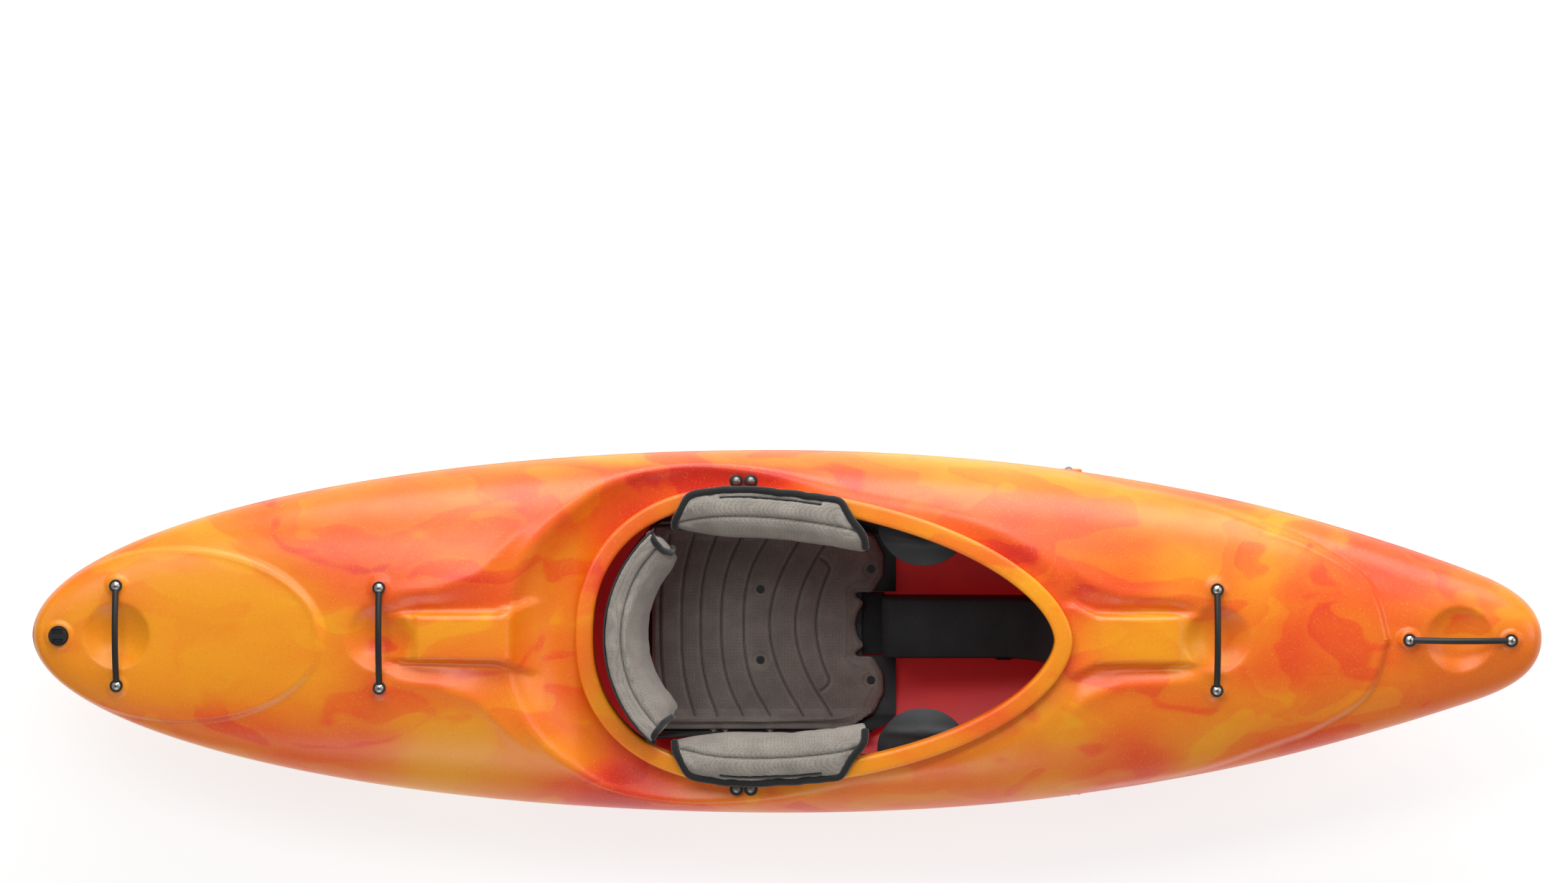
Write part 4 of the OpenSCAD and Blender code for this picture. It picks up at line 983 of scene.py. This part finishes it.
def makeHipPad(nodeName, side):
    low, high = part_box(nodeName)
    def warp(p):
        x, y, z = p.T
        inset = rimHalf(x) - np.abs(y)
        s = (x - low[0]) / (high[0] - low[0])
        x2 = hipX(s, inset)
        return np.stack([x2, side * (rimHalf(x2) - inset), z - rimTop(x) + rimTop(x2)], axis=-1)
    def free(p):
        inset = rimHalf(p[:, 0]) - np.abs(p[:, 1])
        under = (inset < 0.040) & (p[:, 2] < rimTop(p[:, 0]) + 0.004)
        return np.where(under, 0.12, 1.0)
    obj = softCopy(nodeName, spacerMesh, warp)
    swell(obj, hipPad["cap"], free)
    def run(inset, s0, s1, count=40):
        s = np.linspace(s0, s1, count)
        x = hipX(s, inset)
        return [(a, side * b) for a, b in zip(x, rimHalf(x) - inset)]
    sew(obj, [run(*hipPad["seam"]), run(*hipPad["slot"])], hipPad["seamWidth"], hipPad["seamDepth"])
    # Binding along the outer edge and both ends
    edge = [(hipX(0.0, i), i) for i in np.linspace(0.078, 0.004, 16)]
    edge += [(hipX(s, 0.003), 0.003) for s in np.linspace(0.0, 1.0, 60)]
    edge += [(hipX(1.0, i), i) for i in np.linspace(0.004, 0.082, 16)]
    path = [(x, side * (rimHalf(x) - i), rimTop(x) + 0.010 - 0.18 * max(i - 0.04, 0)) for x, i in edge]
    path = calmPath(evenPath(snapPath(obj, path, hipPad["bindingLift"]), hipPad["step"]), 6)
    binding = makeTube(nodeName + "Binding", path, hipPad["binding"], blackWebbing)
    # The slot's edge is bound too, with a thin tape
    path = [(x, y, rimTop(x) + 0.02) for x, y in run(*hipPad["slot"], 60)]
    path = calmPath(evenPath(snapPath(obj, path, 0.0002), hipPad["step"]), 3)
    slotTape = makeTube(nodeName + "SlotTape", path, hipPad["slotTape"], blackWebbing, sides=8, flat=0.6)
    for piece, slotName in ((obj, "mesh_fabric"), (binding, "seat_fabric"), (slotTape, "seat_fabric")):
        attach(piece, bodyOf[nodeName])
    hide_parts(nodeName)


makeHipPad("hip_pad_port", 1)
makeHipPad("hip_pad_starboard", -1)
print("hip pads made")


# Backband: the face leans forward at the bottom, one stitch line along the middle, ends bound.
# The end bindings' points give the radius, and the height over the pad's top, or over its foot for the last
backband = {
    "centreX": -0.069, "lean": 0.042, "cap": 0.007, "face": 0.242, "rear": 0.234,
    "seamRadius": 0.214, "seamHalf": 46, "seamWidth": 0.0045, "seamDepth": 0.0040,
    "endAngle": 47.0, "binding": 0.0058, "bindingLift": 0.0006,
    "endLine": [(0.238, -0.055), (0.240, -0.012), (0.226, 0.001), (0.206, -0.020), (0.196, -0.060)],
    "endFoot": (0.196, 0.03),
}

def makeBackband():
    name = "backband_pad"
    low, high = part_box(name)
    tall = high[2] - low[2]
    def warp(p):
        x, y, z = p.T
        dx = x - backband["centreX"]
        r = np.hypot(dx, y)
        front = np.clip((backband["face"] - r) / 0.020, 0, 1)
        down = np.clip((high[2] - z) / tall, 0, 1)
        lean = backband["lean"] * np.sin(np.minimum(down * 1.35, 1) * math.pi / 2)
        r2 = r - front * (lean + 0.004)
        return np.stack([backband["centreX"] + dx * r2 / r, y * r2 / r, z], axis=-1)
    def free(p):
        r = np.hypot(p[:, 0] - backband["centreX"], p[:, 1])
        return np.where(r > backband["rear"], 0.15, 1.0)
    obj = softCopy(name, spacerMesh, warp)
    swell(obj, backband["cap"], free)
    sweep = np.radians(np.linspace(-backband["seamHalf"], backband["seamHalf"], 50))
    seam = [(backband["centreX"] - backband["seamRadius"] * math.cos(a),
             backband["seamRadius"] * math.sin(a)) for a in sweep]
    sew(obj, [seam], backband["seamWidth"], backband["seamDepth"], upward=0.05)
    made = [obj]
    a = math.radians(backband["endAngle"])
    spots = [(r, high[2] + z) for r, z in backband["endLine"]]
    spots.append((backband["endFoot"][0], low[2] + backband["endFoot"][1]))
    for side, sideName in ((-1, "Starboard"), (1, "Port")):
        path = [(backband["centreX"] - r * math.cos(a), side * r * math.sin(a), z) for r, z in spots]
        path = snapPath(obj, evenPath(path, 0.006), backband["bindingLift"])
        path = calmPath(evenPath(path, 0.004), 4)
        made.append(makeTube("backbandEndBinding" + sideName, path, backband["binding"], blackWebbing,
                             up=(-1, 0, 0)))
    for piece, slotName in zip(made, ("mesh_fabric", "seat_fabric", "seat_fabric")):
        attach(piece, bodyOf[name])
    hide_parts(name)


makeBackband()
print("backband made")


# Seat pad: eight sewn channels that bend forward at the sides, and four press buttons
seatPad = {
    "channels": [-0.222, -0.183, -0.149, -0.112, -0.072, -0.026, 0.020, 0.057],
    "bend": [0.018, 0.022, 0.028, 0.036, 0.044, 0.057, 0.062, 0.058],
    "frontEdge": [(0.0, 0.128), (0.025, 0.134), (0.055, 0.158), (0.090, 0.178), (0.125, 0.178), (0.160, 0.160),
                  (0.195, 0.125)],
    "stretchFrom": 0.05, "cap": 0.005, "voxel": 0.0045, "underside": 0.034,
    "seamWidth": 0.0042, "seamDepth": 0.0034,
    "dimpleRadius": 0.030, "dimpleDepth": 0.009, "buttonRadius": 0.007,
    "frontButtonY": 0.099, "rearButtonY": 0.063,
}

def makeSeatPad():
    name = "seat_pad"
    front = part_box(name)[1][0]
    plain = getPoints(nodes[name])
    notch = plain[(np.abs(plain[:, 1]) < 0.03) & (plain[:, 0] > 0.06)][:, 0].max()
    def warp(p):
        # Two round lobes at the front, with a soft notch between them
        x, y, z = p.T
        ay = np.abs(y)
        goal = np.interp(ay, *zip(*smoothLine(seatPad["frontEdge"])))
        now = np.where(ay < 0.0505, notch, front)
        start = seatPad["stretchFrom"]
        k = (goal - start) / (now - start)
        return np.stack([np.where(x > start, start + (x - start) * k, x), y, z], axis=-1)
    obj = softCopy(name, seatMeshPaintedShade, warp)
    def free(p):
        return np.where(p[:, 2] < seatPad["underside"], 0.1, 1.0) * np.where(np.abs(p[:, 1]) > 0.178, 0.2, 1.0)
    swell(obj, seatPad["cap"], free, seatPad["voxel"])
    lines = []
    for k, (x0, bend) in enumerate(zip(seatPad["channels"], seatPad["bend"])):
        reach = 0.160 if k < 7 else 0.118
        y = np.linspace(-reach, reach, 60)
        t = np.abs(y) / 0.155
        x = x0 + bend * np.clip(t, 0, 1.1) ** (2.6 if k < 5 else 1.9)
        if k == 7:
            x = x - 0.045 * np.clip((np.abs(y) - 0.095) / 0.03, 0, 1) ** 2
        lines.append(list(zip(x, y)))
    # Each button draws the padding down round itself
    buttonsLow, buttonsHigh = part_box("seat_pad_buttons")
    p = getPoints(obj)
    inset, reach = seatPad["buttonRadius"], seatPad["dimpleRadius"]
    for bx, by in ((buttonsHigh[0] - inset, seatPad["frontButtonY"]),
                   (buttonsLow[0] + inset, seatPad["rearButtonY"])):
        d = np.hypot(p[:, 0] - bx, np.abs(p[:, 1]) - by)
        ceiling = buttonsHigh[2] - 0.0022 + seatPad["dimpleDepth"] * smoothStep(0.006, reach, d)
        near = (d < reach) & (p[:, 2] > seatPad["underside"])
        p[:, 2] = np.where(near, np.minimum(p[:, 2], ceiling), p[:, 2])
    setPoints(obj, p)
    sew(obj, lines, seatPad["seamWidth"], seatPad["seamDepth"], upward=0.4)
    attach(obj, bodyOf[name])
    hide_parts(name)


makeSeatPad()
print("seat pad made")


# Hard pieces keep the CAD's shape, with their edges broken
rounded = {
    "bow_foam_wall": (0.005, closedCellFoam), "stern_foam_wall": (0.005, closedCellFoam),
    "foot_brace_pad": (0.004, closedCellFoam), "foot_brace_plate": (0.001, darkPolyethylene),
    "seat_pan": (0.0009, darkPolyethylene), "seat_hanger_port": (0.0012, darkPolyethylene),
    "seat_hanger_starboard": (0.0012, darkPolyethylene), "backband_plate": (0.0009, darkPolyethylene),
}
for nodeName, (width, material) in rounded.items():
    roundedCopy(nodeName, width, material)
print("edges broken on", len(rounded), "pieces")

# The rest show as the CAD made them, each in its real material
finish = {
    "stern_grab_loop": gripRubber, "rear_deck_grab_loop": gripRubber, "front_deck_grab_loop": gripRubber,
    "bow_grab_loop": gripRubber, "drain_bushing": blackNylon, "drain_gasket": sealRubber,
    "drain_plug": blackNylon, "seat_pad_buttons": blackNylon, "seat_slide_knobs": blackNylon,
    "backband_pins": stainlessSteel,
    "thigh_brace_rods": anodisedAluminium, "thigh_brace_posts": blackNylon, "bow_wall_cord": blackWebbing,
    "grab_loop_screws": brushedSteel, "foot_brace_rail_port": anodisedAluminium,
    "foot_brace_rail_starboard": anodisedAluminium, "seat_hanger_screws": blackenedSteel,
    "foot_brace_bolts": blackenedSteel,
}
madeAnew = ["hull_shell", "deck_shell", "cockpit_rim", "hip_pad_port", "hip_pad_starboard", "backband_pad",
            "seat_pad", "thigh_brace_port", "thigh_brace_starboard"]
shown = 0
for nodeName, obj in nodes.items():
    if nodeName in rounded or nodeName in madeAnew:
        continue
    material = finish.get(nodeName, stainlessSteel)
    if not obj.data.materials:
        obj.data.materials.append(material)
    for slot in obj.material_slots:
        slot.link = "OBJECT"
        slot.material = material
    shown += 1
print("materials on", shown, "plain pieces")


# Thigh braces: lens-shaped moulded plates that slide on their rods, a raised rib down the middle
thighBrace = {
    "outline": [(0.162, 0.200), (0.166, 0.172), (0.188, 0.143), (0.215, 0.128), (0.243, 0.1245), (0.272, 0.129),
                (0.298, 0.146), (0.316, 0.172), (0.322, 0.200), (0.312, 0.214), (0.240, 0.218), (0.172, 0.214)],
    "middle": (0.242, 0.178), "thick": 0.006, "level": 0.2985, "slope": math.tan(math.radians(6.96)),
    "dome": 0.010, "ribHeight": 0.003, "ribAside": 0.012, "ribWidth": 0.007,
    "rings": [0.12, 0.25, 0.38, 0.5, 0.62, 0.74, 0.85, 0.93, 0.98, 1.0],
}

def makeThighBrace(nodeName, side):
    t = thighBrace
    ring = smoothLine(t["outline"] + [t["outline"][0]], 10)[:-1]
    ring = calmPath(np.array(ring), 6, closed=True)
    middle = np.array(t["middle"])
    def level(xy, u):
        rib = t["ribHeight"] * bead(xy[:, 1], middle[1] - t["ribAside"], t["ribWidth"]) * (1 - u ** 4)
        return t["level"] + (xy[:, 0] - middle[0]) * t["slope"] + t["dome"] * (0.35 - u * u) + rib
    points, faces, count = [], [], len(ring)
    for face, lift in ((0, 0.0), (1, -t["thick"])):
        for u in t["rings"]:
            xy = middle + (ring - middle) * (u - (0.012 if u == 1.0 and face else 0))
            z = level(xy, u) + lift * (1 if u < 0.98 else 0.7)
            points += [(p[0], side * p[1], q) for p, q in zip(xy, z)]
        points.append((middle[0], side * middle[1], float(level(middle[None, :], 0.0)[0]) + lift))
    rows = len(t["rings"])
    half = rows * count + 1
    for base in (0, half):
        for i in range(rows - 1):
            for j in range(count):
                k = (j + 1) % count
                faces.append((base + i * count + j, base + i * count + k, base + (i + 1) * count + k,
                              base + (i + 1) * count + j))
        for j in range(count):
            faces.append((base + j, base + half - 1, base + (j + 1) % count))
    for j in range(count):
        k = (j + 1) % count
        a = (rows - 1) * count
        faces.append((a + j, a + k, half + a + k, half + a + j))
    obj = makeMesh(nodeName + "Plate", points, faces, darkPolyethylene)
    faceOutwards(obj)
    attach(obj, bodyOf[nodeName])
    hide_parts(nodeName)


makeThighBrace("thigh_brace_port", 1)
makeThighBrace("thigh_brace_starboard", -1)
print("thigh braces made")


def bevelEdges(obj, width, segments):
    bevel = obj.modifiers.new("bevel", "BEVEL")
    bevel.width = width
    bevel.segments = segments
    applyModifiers(obj)


def addRoundedBox(name, place, size, width, material):
    bpy.ops.mesh.primitive_cube_add(size=1, location=place)
    obj = bpy.context.object
    obj.name = name
    obj.scale = size
    placeInMesh(obj)
    obj.data.materials.append(material)
    bevelEdges(obj, width, 4)
    obj.data.polygons.foreach_set("use_smooth", [True] * len(obj.data.polygons))
    return obj


# Cross recesses in the loops' screw heads, each head stopped at its own turn
crossRecess = {"bar": (0.0062, 0.0013, 0.0010), "round": 0.0003, "turn": 0.4, "sunk": 0.0002,
               "headRadius": 0.010}
screwPoints = getPoints(nodes["grab_loop_screws"])
crosses = []
for x, across in loops["places"]:
    for side in (-1, 1):
        sx, sy = loopEnd(x, across, side)
        near = np.hypot(screwPoints[:, 0] - sx, screwPoints[:, 1] - sy) < crossRecess["headRadius"]
        top = screwPoints[near][:, 2].max()
        for quarter in (0, math.pi / 2):
            bar = addRoundedBox("recess", (0, 0, 0), crossRecess["bar"], crossRecess["round"], blackNylon)
            bar.rotation_euler[2] = crossRecess["turn"] + quarter + sx * 7
            bar.location = (sx, sy, top - crossRecess["sunk"])
            placeInMesh(bar)
            crosses.append(bar)
deselectAll()
for bar in crosses:
    bar.select_set(True)
bpy.context.view_layer.objects.active = crosses[0]
bpy.ops.object.join()
recesses = bpy.context.object
recesses.name = "loopScrewRecesses"
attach(recesses, rootBody)

# The bow wall stands on a thin foam foot that runs back under the seat's notch
wallFoot = {"middle": (0.140, 0.0, 0.0128), "size": (0.080, 0.112, 0.0075), "round": 0.002}
foot = addRoundedBox("bowWallFoot", wallFoot["middle"], wallFoot["size"], wallFoot["round"], closedCellFoam)
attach(foot, rootBody)

# Small moulded pads under the side bolts, and washers under the hanger screws on the deck
sideBoltPad = {"x": 0.499, "y": 0.2835, "z": 0.183, "size": (0.045, 0.005, 0.030), "round": 0.0022}
deckWasher = {"x": (-0.083, -0.058), "y": 0.269, "z": 0.2580, "radius": 0.0118, "thick": 0.0022,
              "round": 0.0006}
for side, sideName in ((1, "Port"), (-1, "Starboard")):
    place = (sideBoltPad["x"], side * sideBoltPad["y"], sideBoltPad["z"])
    pad = addRoundedBox("sideBoltPad" + sideName, place, sideBoltPad["size"], sideBoltPad["round"],
                        mouldedPolyethylene)
    addTone(pad, pigmentAndPaintedHighlight)
    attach(pad, rootBody)
    for i, x in enumerate(deckWasher["x"]):
        bpy.ops.mesh.primitive_cylinder_add(vertices=40, radius=deckWasher["radius"], depth=deckWasher["thick"],
                                            location=(x, side * deckWasher["y"], deckWasher["z"]))
        washer = bpy.context.object
        washer.name = "deckWasher" + sideName + str(i + 1)
        placeInMesh(washer)
        washer.data.materials.append(blackNylon)
        bevelEdges(washer, deckWasher["round"], 2)
        makeActive(washer)
        bpy.ops.object.shade_smooth_by_angle(angle=math.radians(40))
        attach(washer, rootBody)
print("bolt pads and washers made")


# Floor and light. The paper glows a little, as a light table does, so it stays white and the shadow thin
studio = {
    "floorSize": 14, "floorDrop": 0.0005, "paper": "A0A0A0", "paperGlow": 0.70, "world": 0.33,
    "aimAt": (0, 0, 0.2),
    "lights": {   # place, length and width, power
        "softboxOverhead": ((-0.6, 2.0, 3.6), (3.4, 0.8), 60),
        "softboxPortLow": ((0.2, 3.3, 1.6), (4.2, 1.9), 140),
        "softboxStarboard": ((-0.6, -3.2, 2.2), (3.0, 1.0), 28),
        "softboxBow": ((3.6, 0.8, 2.2), (1.8, 1.8), 26),
    },
}
floorMat, _, floorShader = newMaterial("palePaper", studio["paper"], 0.9)
floorShader.inputs["Emission Color"].default_value = (1, 1, 1, 1)
floorShader.inputs["Emission Strength"].default_value = studio["paperGlow"]
bpy.ops.mesh.primitive_plane_add(size=studio["floorSize"], location=(0, 0, -studio["floorDrop"]))
floor = bpy.context.object
floor.name = "floor"
floor.data.materials.append(floorMat)

for name, (place, (length, width), power) in studio["lights"].items():
    lightData = bpy.data.lights.new(name, "AREA")
    lightData.energy = power
    lightData.size = length
    if width != length:
        lightData.shape = "RECTANGLE"
        lightData.size_y = width
    light = bpy.data.objects.new(name, lightData)
    bpy.context.scene.collection.objects.link(light)
    light.location = place
    light.rotation_euler = (Vector(studio["aimAt"]) - Vector(place)).to_track_quat("-Z", "Y").to_euler()

world = bpy.context.scene.world or bpy.data.worlds.new("studio")
bpy.context.scene.world = world
world.use_nodes = True
world.node_tree.nodes["Background"].inputs["Color"].default_value = (1, 1, 1, 1)
world.node_tree.nodes["Background"].inputs["Strength"].default_value = studio["world"]
bpy.context.scene.view_settings.view_transform = "Standard"
print("floor and lights placed")
